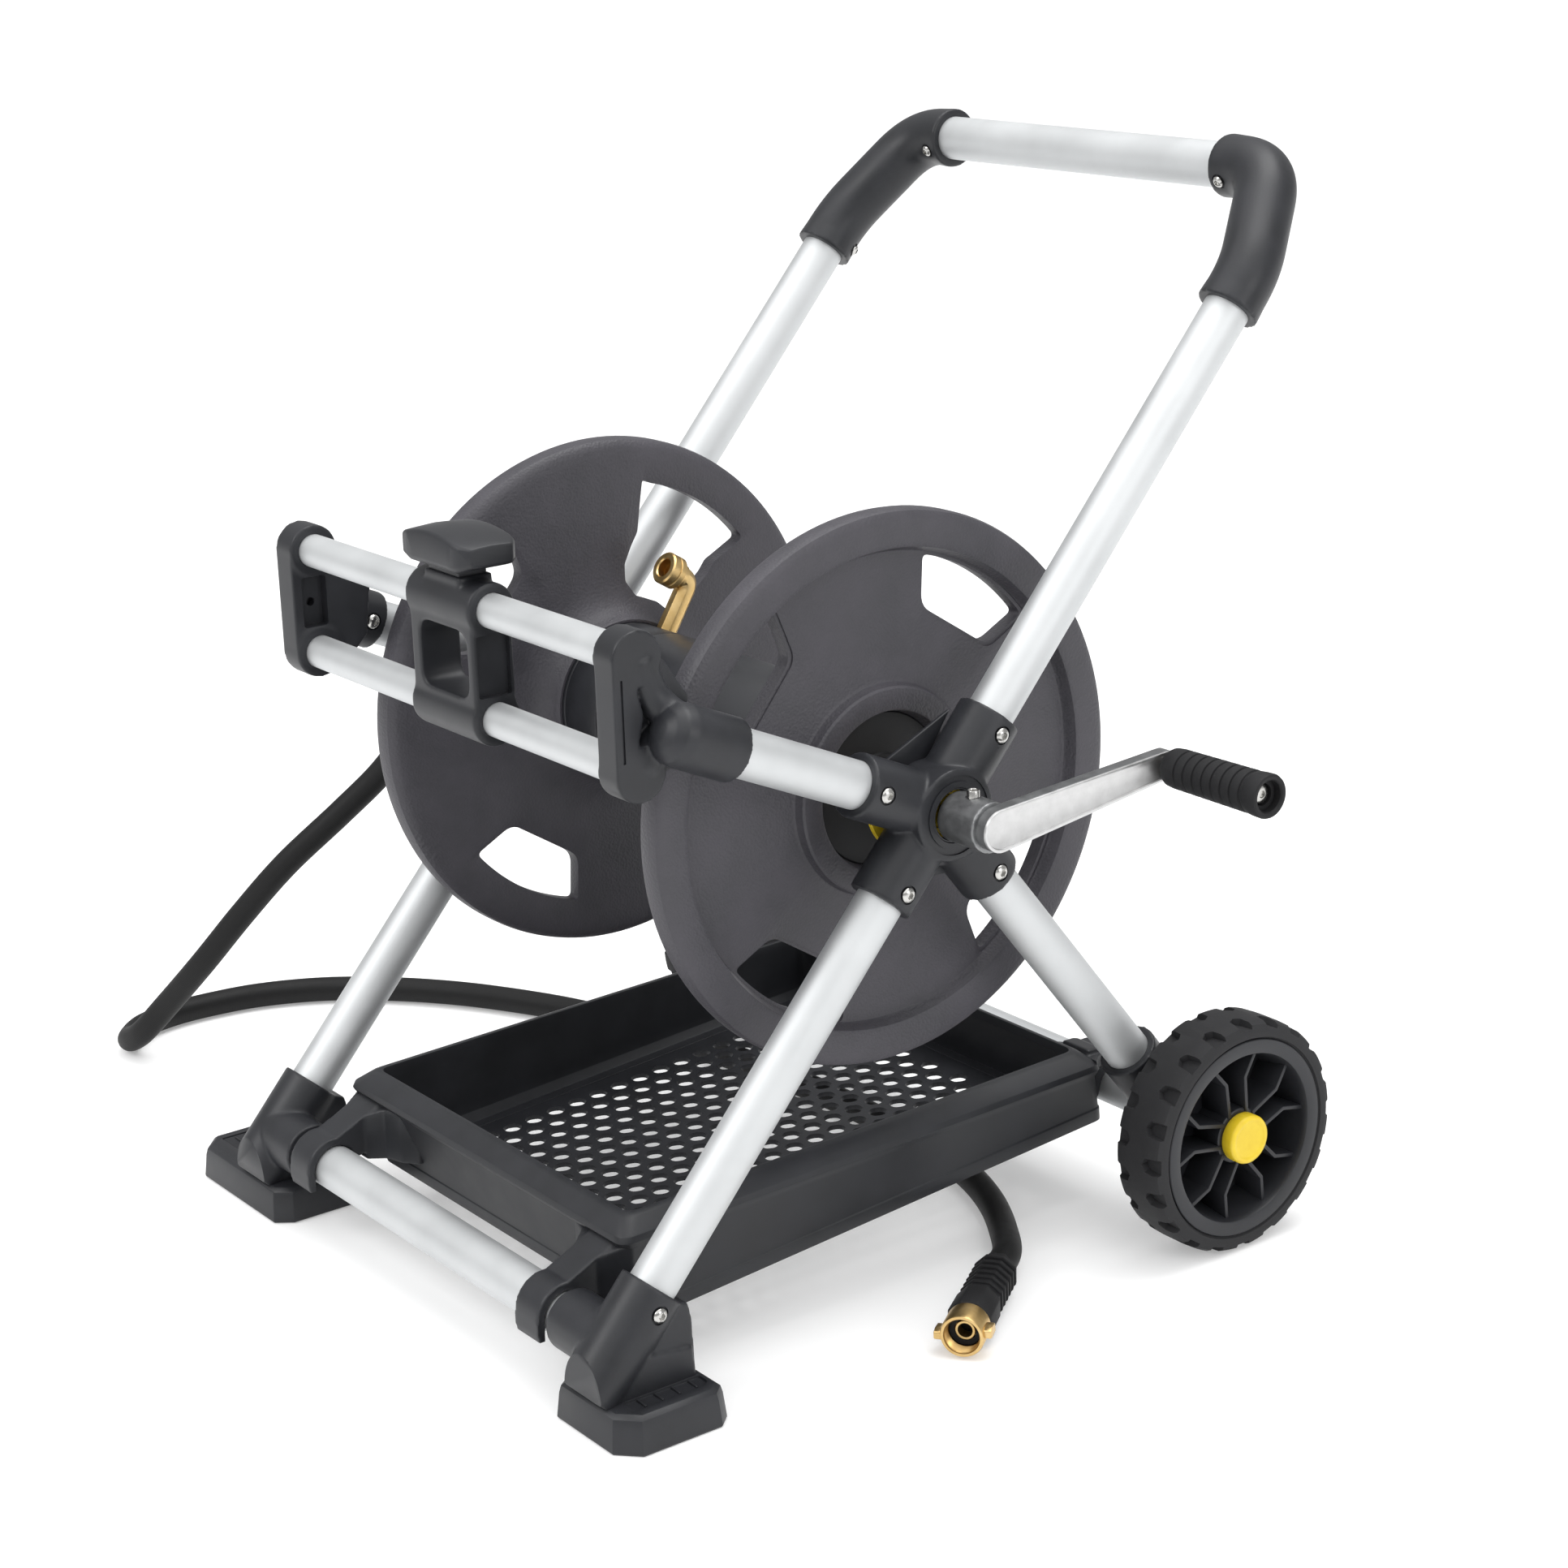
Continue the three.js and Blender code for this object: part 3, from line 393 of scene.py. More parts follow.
def comb_tree():
    """Punches a staggered field of holes of the given shape out of a sheet."""
    tree, given, out = tree_of("punched_sheet", [
        ("Hole", "NodeSocketObject", None), ("Columns", "NodeSocketInt", 18),
        ("Rows", "NodeSocketInt", 18), ("Pitch", "NodeSocketFloat", 20.9),
        ("Corner", "NodeSocketVector", None), ("Rise", "NodeSocketFloat", 0.0),
        ("Finish", "NodeSocketMaterial", None)])
    total = add(tree, "ShaderNodeMath", {0: given.outputs["Columns"], 1: given.outputs["Rows"]},
                operation="MULTIPLY")
    index = add(tree, "GeometryNodeInputIndex")
    column = add(tree, "ShaderNodeMath", {0: index.outputs[0], 1: given.outputs["Rows"]},
                 operation="DIVIDE")
    whole = add(tree, "ShaderNodeMath", {0: column.outputs[0]}, operation="FLOOR")
    row = add(tree, "ShaderNodeMath", {0: index.outputs[0], 1: given.outputs["Rows"]}, operation="MODULO")
    odd = add(tree, "ShaderNodeMath", {0: whole.outputs[0], 1: 2.0}, operation="MODULO")
    lift = add(tree, "ShaderNodeMath", {0: odd.outputs[0], 1: 0.5, 2: row.outputs[0]},
               operation="MULTIPLY_ADD")
    x = add(tree, "ShaderNodeMath", {0: whole.outputs[0], 1: math.cos(math.radians(30))},
            operation="MULTIPLY")
    z = add(tree, "ShaderNodeMath", {0: lift.outputs[0], 1: given.outputs["Rise"]}, operation="MULTIPLY")
    cell = add(tree, "ShaderNodeCombineXYZ", {"X": x.outputs[0], "Y": lift.outputs[0], "Z": z.outputs[0]})
    place = add(tree, "ShaderNodeVectorMath", {0: cell.outputs[0], "Scale": given.outputs["Pitch"]},
                operation="SCALE")
    spot = add(tree, "ShaderNodeVectorMath", {0: place.outputs[0], 1: given.outputs["Corner"]},
               operation="ADD")
    points = add(tree, "GeometryNodePoints", {"Count": total.outputs[0], "Position": spot.outputs[0]})
    thing = add(tree, "GeometryNodeObjectInfo", {"Object": given.outputs["Hole"], "As Instance": True})
    holes = add(tree, "GeometryNodeInstanceOnPoints", {"Points": points.outputs[0],
                                                       "Instance": thing.outputs["Geometry"]})
    cutters = add(tree, "GeometryNodeRealizeInstances", {"Geometry": holes.outputs[0]})
    sheet = add(tree, "GeometryNodeMeshBoolean", {"Mesh 1": given.outputs["Geometry"],
                                                  "Mesh 2": cutters.outputs[0]},
                operation="DIFFERENCE", solver="MANIFOLD")
    return close_tree(tree, sheet.outputs[0], given, out)


def grown(piece, tree, **values):
    """Runs a geometry tree on a piece; values are its named inputs."""
    modifier = piece.modifiers.new(tree.name, "NODES")
    modifier.node_group = tree
    for item in tree.interface.items_tree:
        if item.in_out == "INPUT" and item.name in values:
            modifier[item.identifier] = values[item.name]
    return applied(piece)


# ---- finishes --------------------------------------------------------------------------------
def colour(code):
    """An sRGB hex colour as linear values."""
    parts = [int(code[i:i + 2], 16) / 255 for i in (1, 3, 5)]
    return (*((c / 12.92 if c <= 0.04045 else ((c + 0.055) / 1.055) ** 2.4) for c in parts), 1.0)


def begin(name, **values):
    """A material with its one shader; values are the numbers and colours that are even all over."""
    material = bpy.data.materials.new(name)
    material.use_nodes = True
    tree = material.node_tree
    tree.nodes.clear()
    shader = add(tree, "ShaderNodeBsdfPrincipled", {key.replace("_", " "): v for key,
                                                    v in values.items()})
    add(tree, "ShaderNodeOutputMaterial", {"Surface": shader.outputs[0]})
    return material, tree, shader


def shade_and_bump(tree, shader, dark, light, patch_mm, grain_mm, depth_mm, rough, kind="pebble"):
    """Cloudy colour and roughness over patches, and a raised grain of the given size and depth."""
    where = add(tree, "ShaderNodeTexCoord").outputs["Object"]
    cloud = add(tree, "ShaderNodeTexNoise", {"Vector": where, "Scale": 1 / (patch_mm * MM), "Detail": 3.0,
                                             "Roughness": 0.6})
    tint = add(tree, "ShaderNodeValToRGB", {"Fac": cloud.outputs["Fac"]})
    tint.color_ramp.elements[0].position, tint.color_ramp.elements[1].position = 0.3, 0.7
    tint.color_ramp.elements[0].color, tint.color_ramp.elements[1].color = colour(dark), colour(light)
    tree.links.new(tint.outputs[0], shader.inputs["Base Color"])
    gloss = add(tree, "ShaderNodeMapRange", {"Value": cloud.outputs["Fac"], "From Min": 0.3,
                                             "From Max": 0.7,
                                             "To Min": rough[0], "To Max": rough[1]})
    tree.links.new(gloss.outputs[0], shader.inputs["Roughness"])
    if kind == "pebble":
        cells = add(tree, "ShaderNodeTexVoronoi", {"Vector": where, "Scale": 1 / (grain_mm * MM),
                                                   "Smoothness": 0.7},
                    feature="SMOOTH_F1")
        height = cells.outputs["Distance"]
    else:
        height = add(tree, "ShaderNodeTexNoise", {"Vector": where, "Scale": 1 / (grain_mm * MM),
                                                  "Detail": 2.0}
                     ).outputs["Fac"]
    bump = add(tree, "ShaderNodeBump", {"Height": height, "Distance": depth_mm * MM, "Strength": 0.6})
    tree.links.new(bump.outputs[0], shader.inputs["Normal"])
    return where, bump


def moulded(name, dark, light, grain_mm, depth_mm, rough, ior=1.42):
    """A moulded plastic or rubber: dull and dark, with a pebble grain that breaks up its highlights."""
    material, tree, shader = begin(name, IOR=ior)
    shade_and_bump(tree, shader, dark, light, 45, grain_mm, depth_mm, rough)
    return material


# The grain of the moulds is finer than this on the real parts; it is drawn as coarse as it needs to show.
# glass-filled nylon from a deeply eroded mould: charcoal, with a pebbled face like coarse leather
PEBBLED = moulded("pebbled_nylon", "#38373c", "#424046", 2.0, 0.5, (0.46, 0.56), 1.48)
# the same nylon from a finely eroded mould: near black, with a wide soft sheen
SATIN = moulded("satin_nylon", "#1f2023", "#27282c", 0.9, 0.05, (0.38, 0.48))
# painted shade: discs behind the hubs, coloured darker and duller than the flanges where the hubs' shade falls
SHADE_NYLON = moulded("painted_shade_nylon", "#151517", "#1c1c1f", 1.0, 0.05, (0.5, 0.6))
# tyre of a soft moulded compound: dead matt
TREAD = moulded("tyre_compound", "#1b1b1d", "#232325", 1.4, 0.08, (0.66, 0.78))
# rubbery grip plastic: black and matt
GRIP = moulded("soft_grip", "#0f0f11", "#171719", 0.8, 0.06, (0.6, 0.7), 1.38)


def anodised():
    """Drawn aluminium tube, blasted and clear anodised: an even pale sheen with soft wide highlights."""
    material, tree, shader = begin("anodised_aluminium", Metallic=0.88)
    shade_and_bump(tree, shader, "#c6c8c9", "#cfd1d2", 60, 0.5, 0.012, (0.54, 0.6), kind="blast")
    return material


def cast_metal(name, dark, light, rough, depth_mm):
    """Bare metal with slightly cloudy faces, from tumbled to polished."""
    material, tree, shader = begin(name, Metallic=1.0)
    shade_and_bump(tree, shader, dark, light, 9, 1.3, depth_mm, rough, kind="blast")
    return material


def brass():
    """Machined brass: a soft golden shine, clouded by slight tarnish."""
    material, tree, shader = begin("machined_brass", Metallic=1.0)
    shade_and_bump(tree, shader, "#c6a468", "#dabd86", 14, 0.7, 0.012, (0.3, 0.38), kind="blast")
    return material


def smooth_yellow():
    """Yellow acetal, smooth from the mould, with a faint sheen."""
    material, tree, shader = begin("yellow_acetal", IOR=1.48)
    shade_and_bump(tree, shader, "#d4b51c", "#dcc02c", 12, 1.2, 0.02, (0.36, 0.44), kind="blast")
    return material


def hose_rubber():
    """Extruded rubber over a braid: the threads show through as fine ribs round the hose, 1.6 mm apart."""
    material, tree, shader = begin("braided_rubber", IOR=1.35)
    where, bump = shade_and_bump(tree, shader, "#09090a", "#0f0f10", 30, 1.1, 0.05, (0.52, 0.62),
                                 kind="blast")
    sides = add(tree, "ShaderNodeUVMap", uv_map="lay")
    split = add(tree, "ShaderNodeSeparateXYZ", {"Vector": sides.outputs[0]})
    wave = add(tree, "ShaderNodeMath", {0: split.outputs["X"], 1: 2 * math.pi / 1.6},
               operation="MULTIPLY")
    ribs = add(tree, "ShaderNodeMath", {0: wave.outputs[0]}, operation="SINE")
    ridge = add(tree, "ShaderNodeBump", {"Height": ribs.outputs[0], "Distance": 0.05 * MM,
                                         "Strength": 0.5,
                                         "Normal": bump.outputs[0]})
    tree.links.new(ridge.outputs[0], shader.inputs["Normal"])
    return material


ALUMINIUM, BRASS, YELLOW, HOSE = anodised(), brass(), smooth_yellow(), hose_rubber()
# the crank's hub and sides, as tumbled: mid grey
CAST = cast_metal("tumbled_cast_alloy", "#7c7d7e", "#8c8d8e", (0.4, 0.5), 0.03)
# the crank's face, polished after casting: bright
BRIGHT = cast_metal("polished_cast_alloy", "#bdbdbd", "#cacaca", (0.36, 0.44), 0.006)
# screws, nuts, pins and the spindle: tight bright glints
STEEL = cast_metal("stainless_steel", "#b4b3b0", "#c6c5c2", (0.18, 0.28), 0.02)

# ---- camera ----------------------------------------------------------------------------------
YAW, PITCH, ROLL = (math.radians(a) for a in (53.74, -17.21, -1.8))
ahead = Vector((-math.sin(YAW) * math.cos(PITCH), math.cos(YAW) * math.cos(PITCH), math.sin(PITCH)))
level = ahead.cross(Vector((0, 0, 1))).normalized()
upright = level.cross(ahead)
side = level * math.cos(ROLL) + upright * math.sin(ROLL)
top = upright * math.cos(ROLL) - level * math.sin(ROLL)
camera_data = bpy.data.cameras.new("camera")
camera_data.lens, camera_data.sensor_width = 73.243, 36.0
camera_data.clip_end = 200
camera = shown("camera", camera_data)
camera.matrix_world = Matrix.Translation(to_frame((1912.9, -1357.7, REEL_Z + 687.3))) @ Matrix(
    (side, top, -ahead)).transposed().to_4x4()
bpy.context.scene.camera = camera

# ---- leader hose -----------------------------------------------------------------------------
HOSE_POINTS = [
    (-305.3, 0, 385), (-326, 0, 385), (-357, -17, 369), (-384, -40, 336), (-403, -62, 304),
    (-420, -80, 275), (-440, -108, 243), (-470, -150, 197), (-500, -180, 151), (-530, -207, 104),
    (-568, -228, 58), (-596, -243, 26), (-622, -243, 12.5), (-645, -220, 11.6), (-655, -183, 11.6),
    (-654, -142, 11.6), (-645, -98, 11.6), (-619, -45, 11.6), (-578, 2, 11.6), (-528, 43, 11.6),
    (-469, 78, 11.6), (-407, 106, 11.6), (-320, 130, 11.6), (-220, 148, 11.6), (-110, 158, 11.6),
    (0, 158, 11.6), (70, 150, 11.6), (116, 138, 11.6), (158, 120, 12), (202, 93, 14), (239.4, 64, 18.6),
    (255.3, 42.3, 18.6),
]


def smooth_path(points, steps=8):
    """A smooth line through the points, its speed set by the root of each gap."""
    points = [Vector(p) for p in points]
    points = [points[0] * 2 - points[1], *points, points[-1] * 2 - points[-2]]
    out = []
    for k in range(1, len(points) - 2):
        p = points[k - 1:k + 3]
        t = [0.0]
        for i in range(3):
            t.append(t[-1] + math.sqrt((p[i + 1] - p[i]).length))
        for i in range(steps):
            s = t[1] + (t[2] - t[1]) * i / steps
            a = [p[j] * ((t[j + 1] - s) / (t[j + 1] - t[j])) + p[j + 1] * ((s - t[j]) / (t[j + 1] - t[j]))
                 for j in range(3)]
            b = [a[j] * ((t[j + 2] - s) / (t[j + 2] - t[j])) + a[j + 1] * ((s - t[j]) / (t[j + 2] - t[j]))
                 for j in range(2)]
            out.append(b[0] * ((t[2] - s) / (t[2] - t[1])) + b[1] * ((s - t[1]) / (t[2] - t[1])))
    return out + [points[-2]]


hose_path = smooth_path(HOSE_POINTS)
hose = made(swept(hose_path, HOSE_R, HOSE_SIDES))
lay = hose.data.uv_layers.new(name="lay")
run = [0.0]
for a, b in zip(hose_path, hose_path[1:]):
    run.append(run[-1] + (b - a).length)
for face in hose.data.polygons:
    for corner in face.loop_indices:
        vertex = hose.data.loops[corner].vertex_index
        lay.data[corner].uv = (run[vertex // HOSE_SIDES], vertex % HOSE_SIDES)

hose_end = Vector(HOSE_POINTS[-1])
out_way = (hose_end - Vector(HOSE_POINTS[-2])).normalized()


def on_hose(s):
    """A point s past the hose's end, straight on from it."""
    return hose_end + out_way * s


def sleeve():
    """Eight-sided grip sleeve with slanting ribs on its upper half and a plain band by the coupling."""
    def ring(s, r, count=8):
        u, v = across(out_way)
        return [on_hose(s) + (u * math.cos(t) + v * math.sin(t)) * r
                for t in (math.pi / 8 + 2 * math.pi * i / count for i in range(count))]
    core = eased(made(loft([ring(s, r) for s, r in (
        (0.3, 12.6), (2, 14.6), (60, 15.8), (62, 17.6), (88, 18), (91, 16.5))])), 0.8)
    u, v = across(out_way)
    band = []
    for reach, r_in, r_out in ((0, 13, 16.7), (4.2, 13, 17.2)):
        for r in ((r_out, r_in) if reach else (r_in, r_out)):
            turns = [math.pi / 8 + math.pi * i / 4 for i in range(8)]
            band.append([on_hose(5 + reach + 4.5 * abs(math.sin(t)))
                         + (u * math.cos(t) + v * math.sin(t)) * r for t in turns])
    ribs = grown(eased(made(loft(band, closed=True)), 0.5), ROW, Count=6, Step=tuple(out_way * 8.6),
                 Finish=GRIP)
    return joined(core, ribs)


def coupling():
    """Brass hose coupling: threaded socket, two wings, and the tail of the fitting inside."""
    start, way = on_hose(91.3), out_way
    shell = made(turned([(0, 12), (0, 15.2), (1.4, 16.4), (21, 16.4), (22.7, 15.6), (22.7, 13.6),
                         *[(22 - 1.1 * i, 13.5 - 0.9 * (i % 2)) for i in range(11)], (8.6, 12.9),
                         (8.2, 7.6), (11.6, 7.6), (12, 7.1), (12, 5.6), (2, 5.6)], start, way, 72))
    u = Vector((0, 0, 1)).cross(way).normalized()
    wings = []
    for flip in (-1, 1):
        centre = start + way * 13 + u * flip * 18.2 + Vector((0, 0, 2.5 * flip))
        outline = [(-4, -9), (4.5, -7), (5.2, 3), (3.4, 8.5), (-3.4, 8.5), (-5.2, 3), (-4.5, -7)]
        wings.append(loft([[centre + Vector((0, 0, a * 0.85)) + way * b * 0.9 + u * w for a, b in
                            [(p, q * (1 - 0.012 * abs(w))) for p, q in outline]] for w in (-3.4, 2.88)]))
    wings = eased(made(*wings), 1.0)
    return joined(shell, wings)


ROUND, ROW, AIMED, COMB = round_tree(), row_tree(), aimed_tree(), comb_tree()
settle(hose, "leader_hose_tube", HOSE, "frame", "leader_hose", slot="hose_rubber")
hose_grip = settle(sleeve(), "leader_hose_sleeve", GRIP, "frame", "hose_sleeve", slot="hose_rubber",
                   crease=30)
hose_nut = settle(coupling(), "leader_hose_coupling", BRASS, "frame", "hose_coupling", slot="brass")
washer = settle(made(turned([(8.8, 7.9), (8.8, 12.3), (11, 12.3), (11.6, 11.6), (11.6, 8.4), (11, 7.9)],
                            on_hose(91.3), out_way)), "leader_hose_washer", GRIP, "frame", "hose_washer",
                slot="hose_rubber")
tuple(to_frame(HOSE_POINTS[0]))
[tuple(to_frame(p)) for p in hose_path]

# ---- tubes -----------------------------------------------------------------------------------
def tube(a, b, outer=TUBE_R, wall=2.0):
    """A sawn and deburred tube."""
    a, b = Vector(a), Vector(b)
    length, inner = (b - a).length, outer - wall
    return made(turned([(0.4, inner), (0, inner + 0.4), (0, outer - 0.5), (0.5, outer),
                        (length - 0.5, outer), (length, outer - 0.5), (length, inner + 0.4),
                        (length - 0.4, inner)], a, b - a,
                        72))


CROSS, BAR = along(LEG, 436), along(HANDLE, 547)
for name, angle, end in (("handle_tube", HANDLE, 453), ("front_leg", LEG, 430), ("rear_leg", REAR, 340),
                         ("guide_arm", ARM, 235)):
    settle_pair(tube(along(angle, 36), along(angle, end)), f"{name}_drawn", ALUMINIUM, name,
                slot="aluminium_tube")
for name, half, y, z, r in (("handle_bar", 189.7, BAR.y, BAR.z, TUBE_R),
                            ("front_cross_tube", 214, CROSS.y, CROSS.z, TUBE_R),
                            ("axle_tube", 226, AXLE_Y, AXLE_Z, TUBE_R),
                            ("guide_bar_upper", 228, GUIDE_Y, GUIDE_HIGH, GUIDE_BAR_R),
                            ("guide_bar_lower", 228, GUIDE_Y, GUIDE_LOW, GUIDE_BAR_R)):
    settle(tube((-half, y, z), (half, y, z), r), f"{name}_drawn", ALUMINIUM, "frame", name,
           slot="aluminium_tube")

# ---- side frame mouldings --------------------------------------------------------------------
ANGLES = (HANDLE, ARM, LEG, REAR + 2 * math.pi)
BORE_R = TUBE_R + 0.2
screws = []          # (place, aim, head radius) of every fastener of the right side, mirrored later


def bore(angle, a, b):
    """The space a frame tube takes up along a line of the side frame."""
    return rod(along(angle, a), along(angle, b), BORE_R, count=64)


def fastener(place, aim, r=5.6):
    """Notes a screw for the later pass, and gives the recess that its head sits in."""
    screws.append((Vector(place), Vector(aim).normalized(), r))
    place, aim = Vector(place), Vector(aim).normalized()
    return rod(place - aim * 1.2, place + aim * 8, r + 1.3, count=40)


def flat(angle, s, lift=0.0):
    """(y, z) of a point s along a line of the side frame, lifted square to it."""
    p = along(angle, s)
    return p.y - lift * math.sin(angle), p.z + lift * math.cos(angle)


def hub():
    """Four-way hub: sockets run into a round boss, thin webs behind, and a stepped face round the crank."""
    parts = [bar(216, 265.4, 0, REEL_Z, 32, 33.8, 64)]
    parts += [rod(along(a, 0), along(a, 78), SOCKET_R - 0.2, SOCKET_R + 0.2, 56) for a in ANGLES]
    for i, (a, reach) in enumerate(zip(ANGLES, (44, 40, 56, 44))):
        b = ANGLES[(i + 1) % 4] + (2 * math.pi if i == 3 else 0)
        parts.append(prism([flat(a, 8), flat(a, reach), flat(b, reach), flat(b, 8)], SIDE_X - 6,
                           SIDE_X + 5))
    body = fused(*parts, grain=1.3, rounds=7, keep=0.55)
    cuts = [bore(a, 34, 92) for a in ANGLES]
    cuts.append(bar(205, 275, 0, REEL_Z, 20.2, count=64))
    cuts.append(turned([(0, 24.4), (0, 29.2), (6, 29.2), (6, 24.4)], (264.2, 0, REEL_Z)))
    cuts += [fastener(along(a, 66, SIDE_X + SOCKET_R - 0.9), (1, 0, 0)) for a in ANGLES]
    webs = [prism([flat(HANDLE, 66, 21), flat(HANDLE, 20, 15), flat(ARM, 20, -15), flat(ARM, 44, -21)],
                  SIDE_X - 19, SIDE_X - 15.6),
            prism([flat(LEG, 50, 20), flat(LEG, 20, 15), flat(REAR, 20, -15), flat(REAR, 50, -20)],
                  SIDE_X - 4, SIDE_X - 1)]
    seal = made(turned([(0, 18.7), (0, 20.1), (2.2, 20.1), (2.6, 19.7), (2.6, 18.7)], (262.1, 0, REEL_Z)))
    return joined(carved(body, *cuts), eased(made(*webs), 0.8), seal)


def elbow():
    """Handle elbow: a slight bend, a straight grip length and a sharp bend on to the bar."""
    path = softened([along(HANDLE, 427), along(HANDLE, 461), (205, BAR.y, BAR.z), (162, BAR.y, BAR.z)],
                    (20, 30), 12)
    body = fused(swept(path, SOCKET_R - 0.3, 48),
                 rod(along(HANDLE, 426.5), along(HANDLE, 446), SOCKET_R + 0.5, SOCKET_R - 0.6, 56),
                 bar(161.5, 183, BAR.y, BAR.z, SOCKET_R + 0.5, SOCKET_R - 0.6, 56),
                 grain=1.3, rounds=6, keep=0.5)
    tilt = Vector((-0.75, 0.66 * math.sin(HANDLE), -0.66 * math.cos(HANDLE))).normalized()
    return carved(body, bore(HANDLE, 415, 454),
                  bar(150, 190, BAR.y, BAR.z, BORE_R, count=64),
                  fastener(along(HANDLE, 438) + tilt * 23.2, tilt, 4.6),
                  fastener(Vector((172, BAR.y - 21.2, BAR.z - 9.2)), (0, -0.918, -0.397), 4.6))


def inset(outline, depth):
    """The outline moved inwards, towards its middle."""
    cx, cy = ((max(p[i] for p in outline) + min(p[i] for p in outline)) / 2 for i in (0, 1))
    half_x, half_y = max(abs(p[0] - cx) for p in outline), max(abs(p[1] - cy) for p in outline)
    return [(cx + (x - cx) * (1 - depth / half_x), cy + (y - cy) * (1 - depth / half_y)) for x,
            y in outline]


def foot(outer):
    """Front foot: chamfered pad with a sunk, lined step, the leg's socket and the cross tube's socket."""
    plan = [(197, -306), (207, -319), (outer - 16, -319), (outer, -304), (outer, -238), (outer - 9, -228),
            (205, -228), (197, -236)]
    levels = [(0, 0.8), (1.4, 0), (20, 1.8), (25.2, 3.0), (28, 6.2)]
    pad = made(loft([[(x, y, z) for x, y in inset(plan, d)] for z, d in levels]))
    step = [(263, -300), (outer - 13, -300), (outer - 13, -243), (outer - 18, -237), (263, -237)]
    pad = eased(carved(pad, prism(rounded(step, 2.5), 26.2, 40, "z")), 0.8)
    lines = grown(eased(made(block((264, outer - 17), (-290, -288.4), (25, 27.4))), 0.35), ROW, Count=4,
                  Step=(0, 14.2, 0), Finish=SATIN)
    heel = [(-239.5, 82), (-236.6, 68), (-235.5, 25), (-306, 25), (-316, 29), (-313, 44), (-292, 66),
            (-268, 92)]
    body = fused(rod(along(LEG, 388.5), along(LEG, 476), SOCKET_R, count=56),
                 prism(heel, SIDE_X - 19, SIDE_X + 17),
                 prism([(-240, 50), (-237, 24), (-309, 24), (-310, 40), (-290, 56)], SIDE_X - 22,
                       SIDE_X + 20.5),
                 bar(187, SIDE_X, CROSS.y, CROSS.z, SOCKET_R - 0.4, count=56),
                 grain=1.25, rounds=9, keep=0.5)
    body = carved(body, bore(LEG, 375, 431),
                  bar(170, 215, CROSS.y, CROSS.z, BORE_R, count=64),
                  block((150, 380), (-360, -318.6), (-10, 120)),
                  block((150, 380), (-360, -150), (-30, 23.5)),
                  fastener(along(LEG, 403, SIDE_X + SOCKET_R - 0.9), (1, 0, 0)))
    return joined(pad, lines, body)


def axle_connector():
    """Rear connector: sleeve on the leg, boss for the axle, short sleeve for the axle tube."""
    body = fused(rod(along(REAR, 297), along(REAR, REAR_LENGTH), SOCKET_R - 0.2, 22.5, 56),
                 bar(215, 267.4, AXLE_Y, AXLE_Z, 23.6, 23, 56),
                 prism([flat(REAR, 330, 20), flat(REAR, 366, 16), flat(REAR, 366, -16),
                        flat(REAR, 330, -20)],
                       SIDE_X - 12, SIDE_X + 12), grain=1.35, rounds=7, keep=0.5)
    return carved(body, bore(REAR, 285, 341),
                  bar(205, 227, AXLE_Y, AXLE_Z, BORE_R, count=64),
                  bar(200, 280, AXLE_Y, AXLE_Z, 6.2, count=40),
                  fastener(along(REAR, 312, SIDE_X - SOCKET_R + 0.9), (-1, 0, 0)))


def guide_bracket():
    """Bracket of both guide bars: a lobe on each, a flat front spine, and ridges that sweep to the arm."""
    tip = along(ARM, 247)
    lobes = [bar(206, 230, GUIDE_Y, z, GUIDE_LOBE_R, count=56) for z in (GUIDE_HIGH, GUIDE_LOW)]
    outline = [(GUIDE_Y - 19.6, GUIDE_LOW), (GUIDE_Y, GUIDE_LOW - 15), (-207, 452), (-197, 462),
               (-192, 500), (-212, 530), (GUIDE_Y, GUIDE_HIGH + 14), (GUIDE_Y - 19.6, GUIDE_HIGH)]
    plate = prism(outline, 207.5, 219)
    spine = prism([(GUIDE_Y - 19.6, GUIDE_LOW), (GUIDE_Y - 7, GUIDE_LOW - 4), (GUIDE_Y + 4, 496),
                   (GUIDE_Y - 7, GUIDE_HIGH + 4), (GUIDE_Y - 19.6, GUIDE_HIGH)], 208, 230)
    ridges = [swept(softened([(220, GUIDE_Y + 6, z), (221, -222, (z + tip.z * 2) / 3),
                              (236, -212, tip.z + lift)], (14,)),
                    12, 28) for z, lift in ((GUIDE_HIGH - 2, 4), (GUIDE_LOW + 2, -4))]
    dome = turned([(0, 0), (0, 22.8), (46, 22.6), (54, 20.6), (60, 15), (63, 8), (64, 0)],
                  along(ARM, 191),
                  along(ARM, 1) - along(ARM, 0), 56)
    body = fused(*lobes, plate, spine, *ridges, dome, grain=1.25, rounds=9, keep=0.5)
    inner = rounded([(GUIDE_Y - 12, GUIDE_LOW + 20), (GUIDE_Y + 9, GUIDE_LOW + 20),
                     (GUIDE_Y + 9, GUIDE_HIGH - 20), (GUIDE_Y - 12, GUIDE_HIGH - 20)], 3)
    groove = rounded([(GUIDE_Y - 14.4, GUIDE_LOW + 10), (GUIDE_Y - 12.4, GUIDE_LOW + 10),
                      (GUIDE_Y - 12.4, GUIDE_HIGH - 12), (GUIDE_Y - 14.4, GUIDE_HIGH - 12)], 0.6)
    return carved(body, *[bar(195, 228.4, GUIDE_Y, z, 12.9, count=64) for z in (GUIDE_HIGH, GUIDE_LOW)],
                  bore(ARM, 180, 236), prism(inner, 195, 216),
                  bar(210, 224, GUIDE_Y - 1, 494, 3.4, count=32), prism(groove, 228.6, 240),
                  fastener(along(ARM, 203, SIDE_X - 22.0), (-1, 0, 0)))


